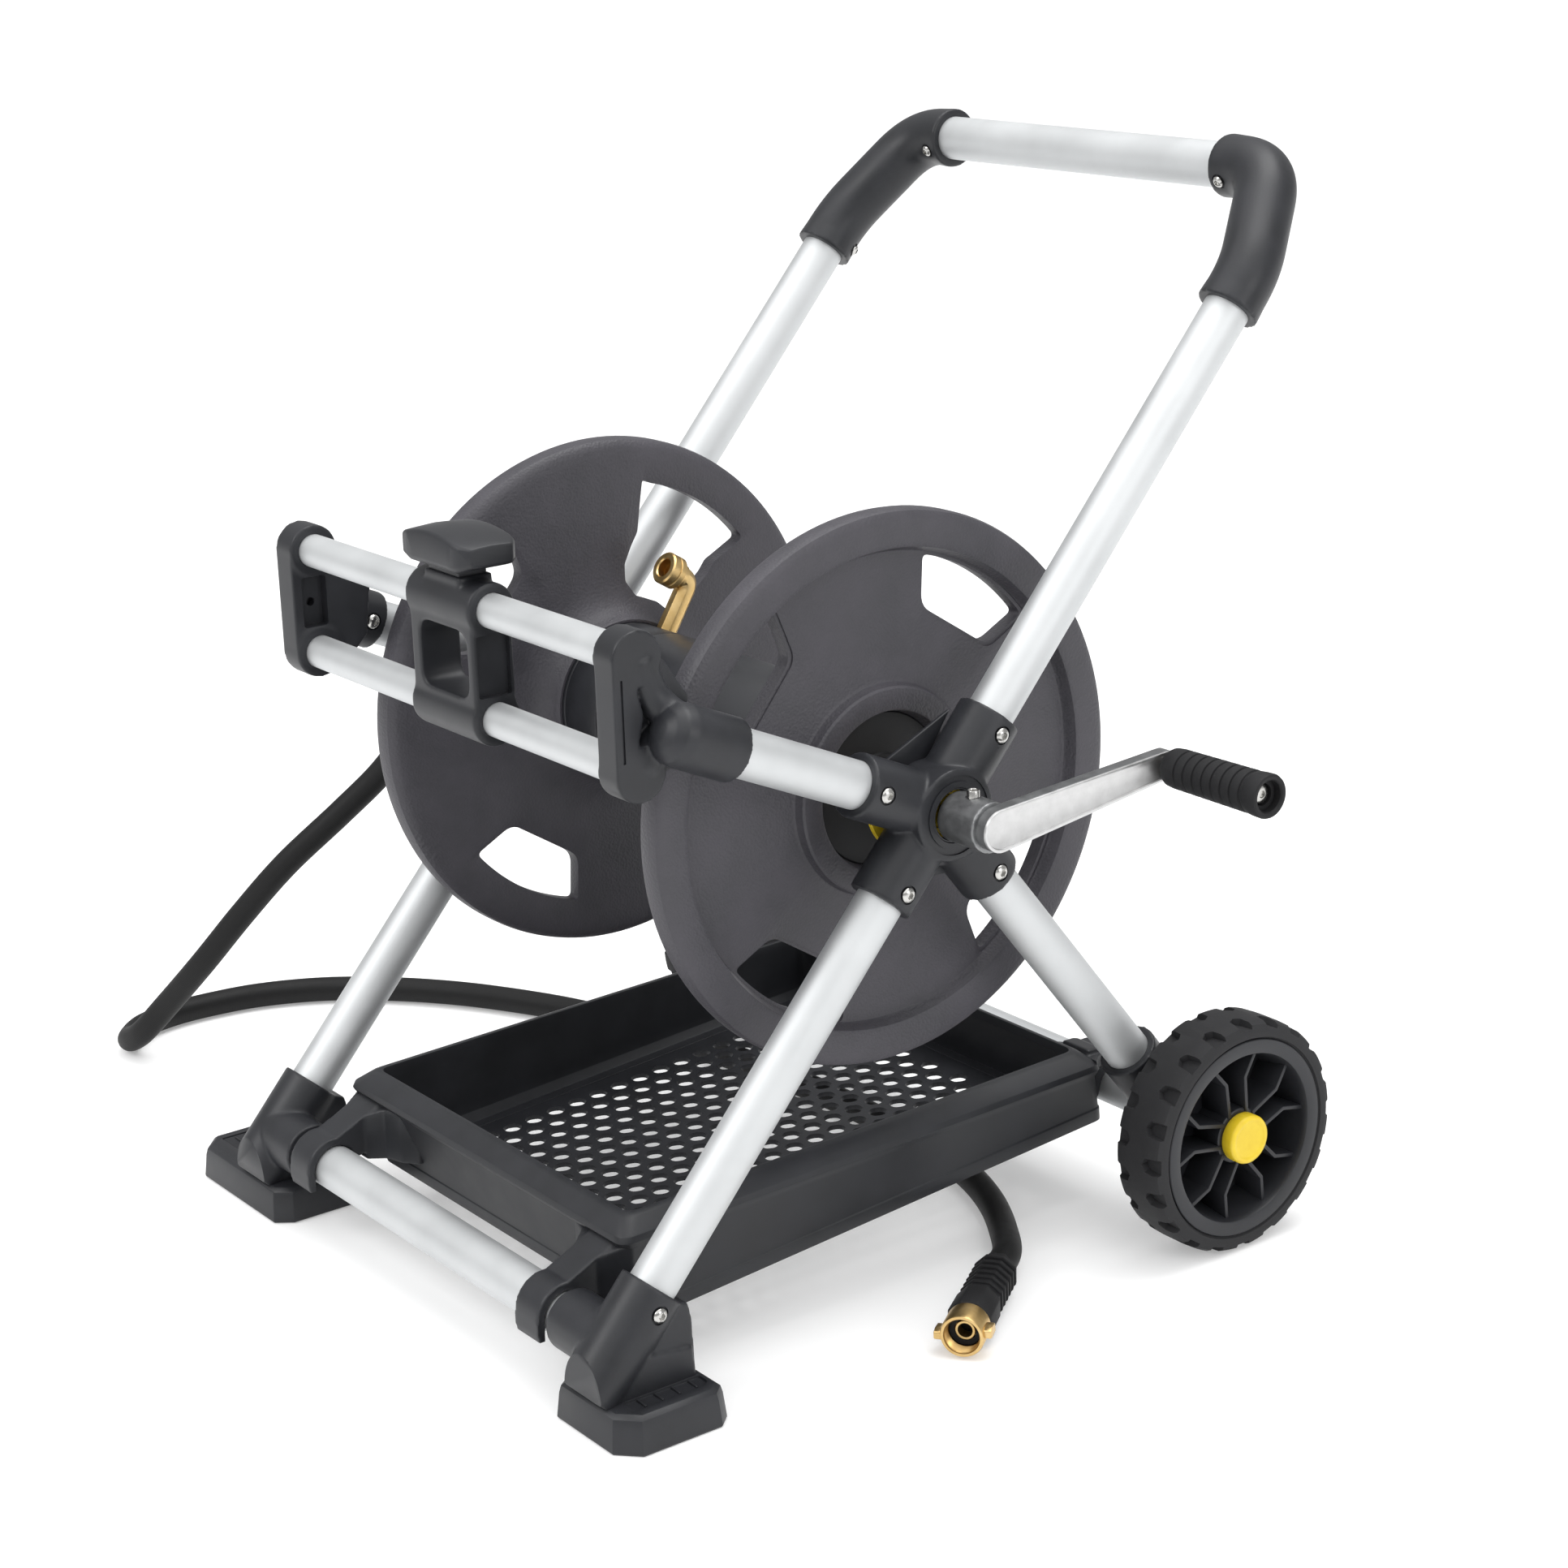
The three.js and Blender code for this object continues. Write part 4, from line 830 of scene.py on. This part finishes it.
for build, node in ((hub, "hub"), (elbow, "elbow"), (axle_connector, "axle_connector"),
                    (guide_bracket, "guide_bracket")):
    settle_pair(build(), f"{node}_moulding", SATIN, node, crease=50)
settle(foot(292), "foot_moulding_right", SATIN, "frame", "foot_right", crease=50)
screws.pop()                    # the left foot is a mirror image, and so is its screw
wide_foot = foot(342)
settle(mirrored(wide_foot), "foot_moulding_left", SATIN, "frame", "foot_left", crease=50)
bpy.data.objects.remove(wide_foot)


def screw(r):
    """Button-head screw with a hexagon socket, along x, its head's seat at the origin."""
    dome = [(-2, 0), (-2, r * 0.62), (0, r * 0.62), (0, r * 0.96), (0.5, r), (1.1, r * 0.98),
            (2.2, r * 0.78), (2.9, r * 0.48), (2.9, 0)]
    head = made(turned(dome, count=40))
    return eased(carved(head, prism(regular(6, r * 0.5), 0.9, 6)), 0.12, 1)


for r in (5.6, 4.6):
    some = [(p, a) for p, a, size in screws if size == r]
    both = some + [(Vector((-p.x, p.y, p.z)), Vector((-a.x, a.y, a.z))) for p, a in some]
    spots = bpy.data.meshes.new("spots")
    spots.from_pydata([p for p, a in both], [], [])
    aims = spots.attributes.new("aim", "FLOAT_VECTOR", "POINT")
    aims.data.foreach_set("vector", [v for p, a in both for v in a])
    holder = shown("spots", spots)
    model = screw(r)
    grown(holder, AIMED, Fastener=model, Finish=STEEL)
    bpy.data.objects.remove(model)
    settle(holder, f"frame_screws_{round(r * 2)}_mm", STEEL, "frame", slot="steel", crease=30)

# ---- reel ------------------------------------------------------------------------------------
WINDOWS = (57, 140.5, 237, 320.5)        # degrees round the flange
NUT_AT = 46                              # distance of the flange's nuts from the reel axis
HOSE_NECK = [(38, 170), (34, 147), (31, 128), (24.5, 118), (17.5, 104), (17, 90), (25, 77), (45, 69),
             (63, 53), (98, 83), (119, 110), (100, 135)]


def reel_flange(deep):
    """Flange: disc in a raised rim, flared into the drum, with lipped windows; deep adds a hose neck."""
    profile = [(166, 12.9), (166, 62.3), (146.2, 62.3), (146.2, 64.6), (151, 66.2), (157, 69.6),
               (162, 75.4), (165.6, 83), (167.4, 91), (168, 100), (168, 190), (168.4, 198), (170, 202.4),
               (173, 205.2), (177, 206.1), (186, 206.1), (189.8, 204.6), (191.6, 201.4), (192, 197),
               (192, 182), (191, 178.6), (184, 176), (181.6, 174.6), (181.2, 172), (181.2, 82),
               (182.4, 79.4), (188.6, 77.6), (190, 76), (190, 62), (189, 60), (186, 59), (177.4, 57.4),
               (176.4, 56), (176.4, 27), (177, 26), (179.6, 25), (179.8, 12.9)]
    body = made(on_reel(profile, 144))

    def window(turn, grow):
        points = []
        for r, edge in ((130 - grow, 15.5), (172 + grow, 18.6)):
            edge += math.degrees(grow / r)
            points += ([(r / math.cos(math.radians(edge)), -edge),
                        (r / math.cos(math.radians(edge)), edge)] if r < 150
                       else [(r, edge - 2 * edge * i / 10) for i in range(11)])
        return rounded([(r * math.cos(math.radians(a + turn)),
                         REEL_Z + r * math.sin(math.radians(a + turn)))
                        for r, a in points], 9, 5)
    for turn in WINDOWS:
        if deep and turn == 57:
            continue
        carved(body, prism(window(turn, 0), 140, 200), prism(window(turn, 2.6), 179.6, 184))
    if deep:
        whole = fused(prism(window(57, 0), 130, 206), prism([(y, REEL_Z + z) for y, z in HOSE_NECK], 130,
                                                            206),
                      grain=1.5, rounds=5, keep=0.5)
        carved(body, whole)
    pockets = grown(made(prism(regular(6, 8, NUT_AT), 170.5, 190)), ROUND, Count=4, Start=0.4,
                    Centre=(0, 0, REEL_Z), Finish=PEBBLED)
    return eased(carved(body, pockets), 0.8, 2, 40)


OUTLET, OUTLET_X = math.radians(58), -135


def reel_drum():
    """Winding drum, with a step where the flanges' collars grip it and a hole for the outlet pipe."""
    half = [(165.6, 58.5), (165.6, 61.9), (144, 61.9), (143.4, 61.4), (142.6, 61.9), (101, 61.9),
            (100, 61.3), (99, 61.9)]
    profile = half + [(-x, r) for x, r in reversed(half)]
    body = made(on_reel(profile, 96))
    return carved(body, rod(along(OUTLET, 20, OUTLET_X), along(OUTLET, 90, OUTLET_X), 8.9, count=32))


def drum_outlet():
    """Brass elbow out of the drum: pipe, collar with a stepped ring, and an open bore."""
    corner = along(OUTLET, 106, OUTLET_X)
    way = Vector((0, -math.sin(OUTLET), math.cos(OUTLET)))
    path = softened([along(OUTLET, 13, OUTLET_X), corner, corner + way * 20], (9,), 10)
    pipe = eased(made(swept(path, section=regular(8, 8.6, turn=22))), 1.1, 3, 25)
    collar = made(turned([(8, 0), (8, 9.6), (13, 9.9), (13.6, 12.6), (14.6, 13.4), (19, 13.4),
                          (19.6, 12.5), (20.4, 12.5), (21, 13.4), (26.6, 13.4), (27.9, 12.2), (27.9, 8.3),
                          (26.8, 7.4), (9, 7.4), (9, 0)],
                         corner, way))
    return joined(carved(pipe, rod(corner + way * 9, corner + way * 40, 7.3, count=48)), collar)


settle(reel_flange(False), "reel_flange_moulding_right", PEBBLED, "reel", "reel_flange_right", crease=30)
far = reel_flange(True)
settle(mirrored(far), "reel_flange_moulding_left", PEBBLED, "reel", "reel_flange_left", crease=30)
bpy.data.objects.remove(far)
# painted shade: discs laid on the flanges' middles round the spindle, behind the hubs, coloured darker and
# smoother than the flanges where the hubs shade them
settle_pair(made(on_reel([(176.6, 16), (176.6, 56.8), (177.6, 57), (178.4, 56), (178.6, 27), (180, 25.6),
                          (180.2, 16)], 96)), "reel_cover_moulding", SHADE_NYLON, None, body="reel", crease=30)
settle(reel_drum(), "reel_drum_moulding", SATIN, "reel", "drum")
settle(drum_outlet(), "drum_outlet_brass", BRASS, "reel", "drum_outlet", slot="brass")
nuts = grown(eased(made(prism(regular(6, 5.6, NUT_AT), 170.6, 174.4)), 0.5), ROUND, Count=4, Start=0.4,
             Centre=(0, 0, REEL_Z), Finish=STEEL)
nuts = joined(nuts, mirrored(nuts))
settle(nuts, "reel_flange_nuts", STEEL, "reel", slot="steel", crease=30)
settle(tube((-266, 0, REEL_Z), (299.6, 0, REEL_Z), 12.5, 3), "spindle_tube", STEEL, "reel", "spindle",
       slot="steel")
settle_pair(made(on_reel([(210.6, 12.9), (210.6, 36.5), (211.4, 38.2), (213.6, 38.4), (214.6, 37.4),
                          (214.6, 19.4),
                         (251.4, 19.4), (252, 18.8), (252, 12.9)])),
            "bushing_ring", YELLOW, "bushing", slot="yellow_plastic")
inlet = joined(
    made(on_reel([(-304.9, 6), (-304.9, 10.4), (-304, 11), (-296, 11), (-295.4, 6)])),
    eased(made(prism(regular(6, 13.2, 0, REEL_Z), -296, -286.4)), 0.8),
    made(on_reel([(-287, 6), (-287, 16.4), (-285.6, 17.8), (-271, 17.8), (-270, 18.8), (-270, 22.4),
                  (-268.8, 23.6),
                 (-267.4, 23.6), (-266.6, 22.8), (-266.6, 6)])))
settle(inlet, "inlet_swivel_brass", BRASS, "frame", "inlet_swivel", slot="brass")

# ---- crank -----------------------------------------------------------------------------------
def arm_outline(trim):
    """Outline of the crank arm: a long taper with round ends."""
    out = []
    for centre, r, start in ((0, 15.4 - trim, 90), (CRANK_LENGTH, 10.4 - trim, -90)):
        for i in range(17):
            t = math.radians(start + 180 * i / 16)
            u, v = centre + r * math.cos(t), r * math.sin(t)
            out.append((u * math.cos(CRANK) - v * math.sin(CRANK),
                        REEL_Z + u * math.sin(CRANK) + v * math.cos(CRANK)))
    return out


GRIP_AT = along(CRANK, CRANK_LENGTH)
arm = carved(made(prism(arm_outline(0), 303, 315)), prism(arm_outline(2.6), 314.1, 320))
arm = eased(arm, 0.55, 2, 40)
crank_hub = fused(turned([(0, 0), (0, 17.6), (0.9, 18.4), (38.6, 18.4), (38.6, 0)], (265.6, 0, REEL_Z)),
                  grain=1.0, rounds=3, keep=0.5)
crank_hub = carved(crank_hub, rod((284, 0, REEL_Z + 17), (284, 0, REEL_Z + 30), 5.6, count=32))
settle(arm, "crank_arm_face", BRIGHT, "reel", "crank_arm", slot="cast_alloy", crease=30)
settle(crank_hub, "crank_arm_hub", CAST, "reel", slot="cast_alloy", crease=50)
edge = eased(made(prism(arm_outline(-0.12), 303.5, 313.4)), 0.3, 1, 40)
settle(edge, "crank_arm_sides", CAST, "reel", slot="cast_alloy", crease=30)
set_screw = made(turned([(14, 0), (14, 4.6), (22.6, 4.6), (23.3, 4.2), (23.3, 3.4), (22.6, 3), (20.6, 3),
                         (20.6, 0)],
                        (284, 0, REEL_Z), (0, 0, 1), 40))
settle(set_screw, "crank_set_screw_steel", STEEL, "reel", "crank_set_screw", slot="steel")
pin = made(turned([(298, 0), (298, 7.2), (302.4, 7.4), (302.4, 4.4), (405.4, 4.4), (405.4, 7), (406, 7.4),
                          (408, 7), (409, 5.2), (409, 2.8), (407.4, 2.6), (407.4, 0)],
                          (0, GRIP_AT.y, GRIP_AT.z)))
settle(pin, "crank_pin_steel", STEEL, "reel", "crank_pin", slot="steel")
rings = [(318, 4.9), (318, 11.4), (319, 12.6), (322, 14.2)]
for i in range(8):
    x = 327 + 9.4 * i
    r = 14.7 + 0.11 * i
    rings += [(x, r), (x + 0.7, r + 0.1), (x + 6.3, r + 0.15), (x + 7, r), (x + 7.5, r - 1.1),
              (x + 8.9, r - 1.1)]
rings += [(403.6, 15.6), (408, 16.1), (414.6, 16.3), (416.4, 15.6), (417, 14.4), (416.6, 12.4),
          (415.4, 11.5), (409.8, 11.2), (409.6, 8.2), (405, 8), (405, 4.9)]
settle(made(turned(rings, (0, GRIP_AT.y, GRIP_AT.z), count=72)), "crank_grip_sleeve", GRIP, "crank_grip",
       "crank_grip",
       slot="grip_plastic", crease=30)

# ---- hose guide ------------------------------------------------------------------------------
def slider():
    """Guide block: a sleeve on each bar, a rounded window between two posts, and the knob's neck."""
    x0, x1 = SLIDER_X - 43.6, SLIDER_X + 43.6
    body = fused(*[bar(x0, x1, GUIDE_Y, z, GUIDE_LOBE_R, count=56) for z in (GUIDE_HIGH, GUIDE_LOW)],
                 block((x0 + 1.5, x1 - 1.2), (GUIDE_Y - 17, GUIDE_Y + 17), (GUIDE_LOW, GUIDE_HIGH)),
                 block((SLIDER_X - 24, SLIDER_X + 24), (GUIDE_Y - 14, GUIDE_Y + 14),
                       (GUIDE_HIGH + 8, GUIDE_HIGH + 22)),
                 grain=1.2, rounds=2, keep=1)
    hole = rounded([(x0 + 13.5, GUIDE_LOW + 15.5), (x1 - 9.5, GUIDE_LOW + 15.5),
                    (x1 - 9.5, GUIDE_HIGH - 15.5), (x0 + 13.5, GUIDE_HIGH - 15.5)], 13, 6)
    body = applied(carved(body, prism(hole, GUIDE_Y - 40, GUIDE_Y + 40, "y")),
                   ("REMESH", {"mode": "VOXEL", "voxel_size": 1.2}),
                   ("SMOOTH", {"factor": 0.5, "iterations": 9}), ("DECIMATE", {"ratio": 0.5}))
    channel = rounded([(GUIDE_Y - 13.5, GUIDE_LOW + 17), (GUIDE_Y + 13.5, GUIDE_LOW + 17),
                       (GUIDE_Y + 13.5, GUIDE_HIGH - 17), (GUIDE_Y - 13.5, GUIDE_HIGH - 17)], 2)
    body = carved(body, *[bar(x0 - 9, x1 + 9, GUIDE_Y, z, 13.1, count=64) for z in (GUIDE_HIGH,
            GUIDE_LOW)],
                  prism(channel, x1 - 5.5, x1 + 9))
    neck = eased(made(block((SLIDER_X - 20.5, SLIDER_X + 20.5), (GUIDE_Y - 11.5, GUIDE_Y + 11.5),
                            (GUIDE_HIGH + 20, GUIDE_HIGH + 27))), 0.8)
    return joined(body, neck)


def knob():
    """Push knob: flat faced, its top crowned lengthways, ends drawn in."""
    z = GUIDE_HIGH + 27.2
    rings = []
    for i in range(13):
        u = -1 + i / 6
        x = SLIDER_X + 45 * u
        half, low, high = 24.6 - 8 * max(0, abs(u) - 0.8) * 5 * 0.9, 5 * max(0,
                abs(u) - 0.7) / 0.3, 26.4 - 7.5 * u * u
        rings.append([(x, GUIDE_Y + 2 + a * half, z + low + (high - low) * b) for a, b in (
            (-0.86, 0), (-1, 0.16), (-1, 0.86), (-0.93, 0.97), (-0.6, 1.0), (0, 1.04), (0.6, 1.0),
            (0.93, 0.97), (1, 0.86), (1, 0.16), (0.86, 0))])
    return eased(made(loft(rings)), 1.6, 3, 34)


settle(slider(), "guide_slider_moulding", SATIN, "guide", "guide_slider", crease=50)
settle(knob(), "slider_knob_moulding", SATIN, "guide", "slider_knob", crease=60)

# ---- wheels ----------------------------------------------------------------------------------
def tyre():
    """Tyre: a crowned tread with two staggered rows of tapered pockets let into its shoulders."""
    body = made(on_axle([(277, 78.3), (275.6, 80), (275.4, 84), (277.4, 89.6), (281, 91.4), (290, 92),
                         (308, 92),
                        (317, 91.4), (320.8, 89.6), (323, 84), (322.8, 80), (322.2, 79.6), (321.4, 79.5),
                        (320.4, 78.3)], 160))

    def pocket(x_in, x_out):
        """Five-sided pocket, open at the shoulder, narrowing inwards and downwards."""
        rings = []
        for r, grow in ((86.6, -1.2), (95, 1.4)):
            rings.append([(x_out, -8.2 - grow, r), (x_in, -5.2 - grow, r),
                          (x_in + (x_in - x_out) * 0.16, 0, r),
                          (x_in, 5.2 + grow, r), (x_out, 8.2 + grow, r)])
        return loft(rings)
    for shape, start in ((pocket(309.5, 330), 0.0), (pocket(289, 268), math.pi / 20)):
        carved(body, grown(made(shape), ROUND, Count=20, Start=start, Centre=(0, AXLE_Y, AXLE_Z),
                           Finish=TREAD))
    return eased(body, 0.7, 2, 40)


def wheel_rim():
    """Wheel: a deep rim and thin disc stiffened by five pairs of bent ribs."""
    ring = on_axle([(278, 67), (278, 77.6), (279, 78.2), (319.6, 78.2), (321.6, 78), (322.2, 77.4),
                    (322.4, 75.6),
                   (322.2, 68.6), (321.6, 67), (319.8, 66), (316, 65.4), (290, 61), (288, 61), (288, 21),
                   (284, 21), (284, 67)], 120)
    boss = on_axle([(268.5, 6.3), (268.5, 16.4), (282, 21.8), (314.4, 21.8), (315.3, 20.8),
                    (315.3, 6.3)], 72)
    ribs = []
    for flip in (-1, 1):
        spine = [(r * math.cos(math.radians(a * flip)), r * math.sin(math.radians(a * flip)))
                 for r, a in ((20, 26), (47, 12), (70, 20))]
        left, right = [], []
        for i, (y, z) in enumerate(spine):
            a, b = Vector(spine[max(i - 1, 0)]), Vector(spine[min(i + 1, 2)])
            way = (b - a).normalized()
            left.append((y - way.y * 1.6, z + way.x * 1.6))
            right.append((y + way.y * 1.6, z - way.x * 1.6))
        ribs.append(prism(left + right[::-1], 286, 316.4))
    ribs = grown(eased(made(*ribs), 0.5), ROUND, Count=5, Start=math.radians(96),
                 Centre=(0, AXLE_Y, AXLE_Z), Finish=SATIN)
    return joined(made(ring, boss), ribs)


settle_pair(tyre(), "tyre_moulded", TREAD, "tyre", slot="tyre_rubber", body="wheel", crease=34)
settle_pair(wheel_rim(), "wheel_rim_moulded", SATIN, "wheel_rim", body="wheel", crease=30)
settle_pair(made(on_axle([(315.6, 0), (315.6, 18.4), (317, 19.3), (325, 19.3), (326.6, 18.6),
                          (327.4, 17), (327.4, 15.4),
                         (326.7, 14.4), (326.5, 13), (326.5, 0)], 72)),
            "wheel_cap_disc", YELLOW, "wheel_cap", slot="yellow_plastic", body="wheel", crease=50)
settle(made(on_axle([(-313, 0), (-313, 5.2), (-312.2, 6), (312.2, 6), (313, 5.2), (313, 0)], 40)),
       "axle_rod_steel", STEEL, "frame", "axle_rod", slot="steel")

# ---- tray ------------------------------------------------------------------------------------
def level(half, y0, y1, z0, z1):
    """A four-cornered ring, sloping evenly from front to rear."""
    return [(-half, y0, z0), (half, y0, z0), (half, y1, z1), (-half, y1, z1)]


def bent_ring(half, y0, y1, z0, z1, r):
    """A level ring with rounded corners, sloping evenly from front to rear."""
    flat_ring = rounded([(-half, y0), (half, y0), (half, y1), (-half, y1)], r, 6)
    return [(x, y, z0 + (z1 - z0) * (y - y0) / (y1 - y0)) for x, y in flat_ring]


def tray_shell():
    """Open tray with drafted walls, a broad rim that slopes outwards, and a frame round its floor."""
    shell = made(loft([bent_ring(186, -228, 211, 37, 70, 9), bent_ring(187.6, -230.2, 209, 48, 81, 9),
                       bent_ring(186.8, -229.6, 208.4, 49, 82, 9),
                       bent_ring(191.6, -244.4, 201, 97, 110, 10),
                       bent_ring(193.6, -248.6, 203, 101, 114, 12),
                       bent_ring(195, -250.4, 204, 104, 117, 12),
                       bent_ring(193.4, -249, 202.6, 108.4, 121, 12),
                       bent_ring(183, -239, 193.6, 117, 129, 12),
                       bent_ring(179, -235, 190.6, 118.6, 130.6, 11)]))
    cavity = loft([bent_ring(176, -218, 201, 44.2, 76.4, 12), bent_ring(180, -223, 199, 52, 82, 12),
                   bent_ring(180.4, -225, 198, 62, 90, 12), bent_ring(174.5, -230.8, 187.4, 112, 123.6,
                           9),
                   bent_ring(175.4, -231.6, 188, 117, 128.8, 9),
                   bent_ring(176, -232.2, 188.6, 126, 138, 9)])
    under = loft([bent_ring(166, -206, 192, 20, 53, 12), bent_ring(166, -206, 192, 60, 92, 12)])
    return eased(carved(shell, cavity, under), 1.3, 3, 24)


def punched_floor():
    """Floor punched with six-sided holes, 20.9 mm apart, with rounded corners."""
    sheet = made(loft([level(168, -208, 194, 40.6, 71.6), level(168, -208, 194, 44.4, 75.4)]))
    hole = made(prism(rounded(regular(6, 8.4), 3.2, 3), -14, 14, "z"))
    pitch, rise = 20.9, 32.2 / 424.5
    floor = grown(sheet, COMB, Hole=hole, Columns=17, Rows=18, Pitch=pitch, Rise=rise, Finish=SATIN,
                  Corner=(-8 * pitch * math.cos(math.radians(30)), -194, 43.6))
    bpy.data.objects.remove(hole)
    return floor


def front_arm(x0, x1):
    """Arm that flares out of the tray's corner and hooks over the front cross tube."""
    cy, cz = CROSS.y, CROSS.z
    mid = (x0 + x1) / 2
    side = [(-232, 56), (-232, 107), (-246, 102.5), *arc(cy, cz, 25, 84, 182, 12), (-314.6, cz - 9),
            (-313.4, cz - 14.6), (-308.4, cz - 14.6), *arc(cy, cz, TUBE_R + 0.6, 192, 10, 14),
            (-255, 66), (-246, 58)]
    root = [(mid - 52, -236), (mid - 40, -245), (mid - 24, -250), (mid - 15.2, -262), (mid + 15.2, -262),
            (mid + 27, -240), (mid + 27, -228), (mid - 52, -228)]
    slope = [(x, y, z) for z in (58, 104) for x, y in root]
    flare = loft([slope[:len(root)], [(x, y, z + (y + 236) * 0.34) for x, y, z in slope[len(root):]]])
    body = fused(prism(side, x0, x1), flare, grain=1.2, rounds=7, keep=0.5)
    tube_path = bar(x0 - 60, x1 + 60, cy, cz, TUBE_R + 0.5, count=64)
    return carved(body, tube_path, block((x0 - 60, x1 + 60), (cy - 17, cy + 10), (cz - 60, cz)))


def rear_arm(x0, x1):
    """Arm that carries the tray's rear on the axle tube."""
    mid = (x0 + x1) / 2
    side = [(203, 84), (200, 128.4), (214, 127), *arc(AXLE_Y, AXLE_Z, 25, 104, 16, 8),
            *arc(AXLE_Y, AXLE_Z, TUBE_R + 0.6, 16, 170, 12), (211, 86)]
    plan = [(mid - 30, 198), (mid - 20, 206), (mid - 15.4, 216), (mid - 15.4, 226), (mid + 15.4, 226),
            (mid + 15.4, 216), (mid + 20, 206), (mid + 28, 198)]
    body = fused(prism(side, x0, x1), prism(plan, 112, 124, "z"), grain=1.2, rounds=5, keep=0.5)
    tube_path = bar(x0 - 60, x1 + 60, AXLE_Y, AXLE_Z, TUBE_R + 0.5, count=64)
    return carved(body, tube_path, block((x0 - 60, x1 + 60), (AXLE_Y - 16, AXLE_Y + 40), (0, AXLE_Z)))


arms = [front_arm(150, 180), rear_arm(150, 180)]
arms += [mirrored(a) for a in arms]
settle(joined(tray_shell(), *arms), "tray_moulding", SATIN, "frame", "tray", crease=45)
settle(punched_floor(), "tray_punched_floor", SATIN, "frame", crease=30)

# ---- studio ----------------------------------------------------------------------------------
def studio():
    """White floor, white surroundings and large soft lights."""
    sheet = bpy.data.meshes.new("floor")
    half, below = 40, -0.0005
    sheet.from_pydata([(-half, -half, below), (half, -half, below), (half, half, below),
                       (-half, half, below)],
                      [], [(0, 1, 2, 3)])
    floor = shown("floor", sheet)
    sheet.materials.append(begin("pale_floor", Base_Color=colour("#dfdfdf"), Roughness=1.0,
                                 Emission_Color=colour("#ffffff"), Emission_Strength=0.3)[0])
    world = bpy.data.worlds.new("surroundings")
    world.use_nodes = True
    world.node_tree.nodes["Background"].inputs["Color"].default_value = colour("#ffffff")
    world.node_tree.nodes["Background"].inputs["Strength"].default_value = 0.5
    bpy.context.scene.world = world
    middle = Vector((0, 0, 0.35))
    for name, place, size, watts in (("key", (-0.6, -3.2, 2.8), 1.8, 45),
                                     ("fill", (3.4, 0.6, 1.6), 1.4, 26),
                                     ("crown", (0.2, 0.8, 3.6), 2.2, 60)):
        light = bpy.data.lights.new(name, "AREA")
        light.shape, light.size, light.energy = "SQUARE", size, watts
        lamp = shown(name, light)
        lamp.location = place
        lamp.rotation_euler = (middle - Vector(place)).to_track_quat("-Z", "Y").to_euler()
    sky = bpy.data.lights.new("sky", "SUN")
    sky.energy, sky.angle = 2.1, math.radians(100)
    shown("sky", sky).rotation_euler = (math.radians(12), math.radians(8), 0)
    bpy.context.scene.view_settings.view_transform = "Standard"


studio()
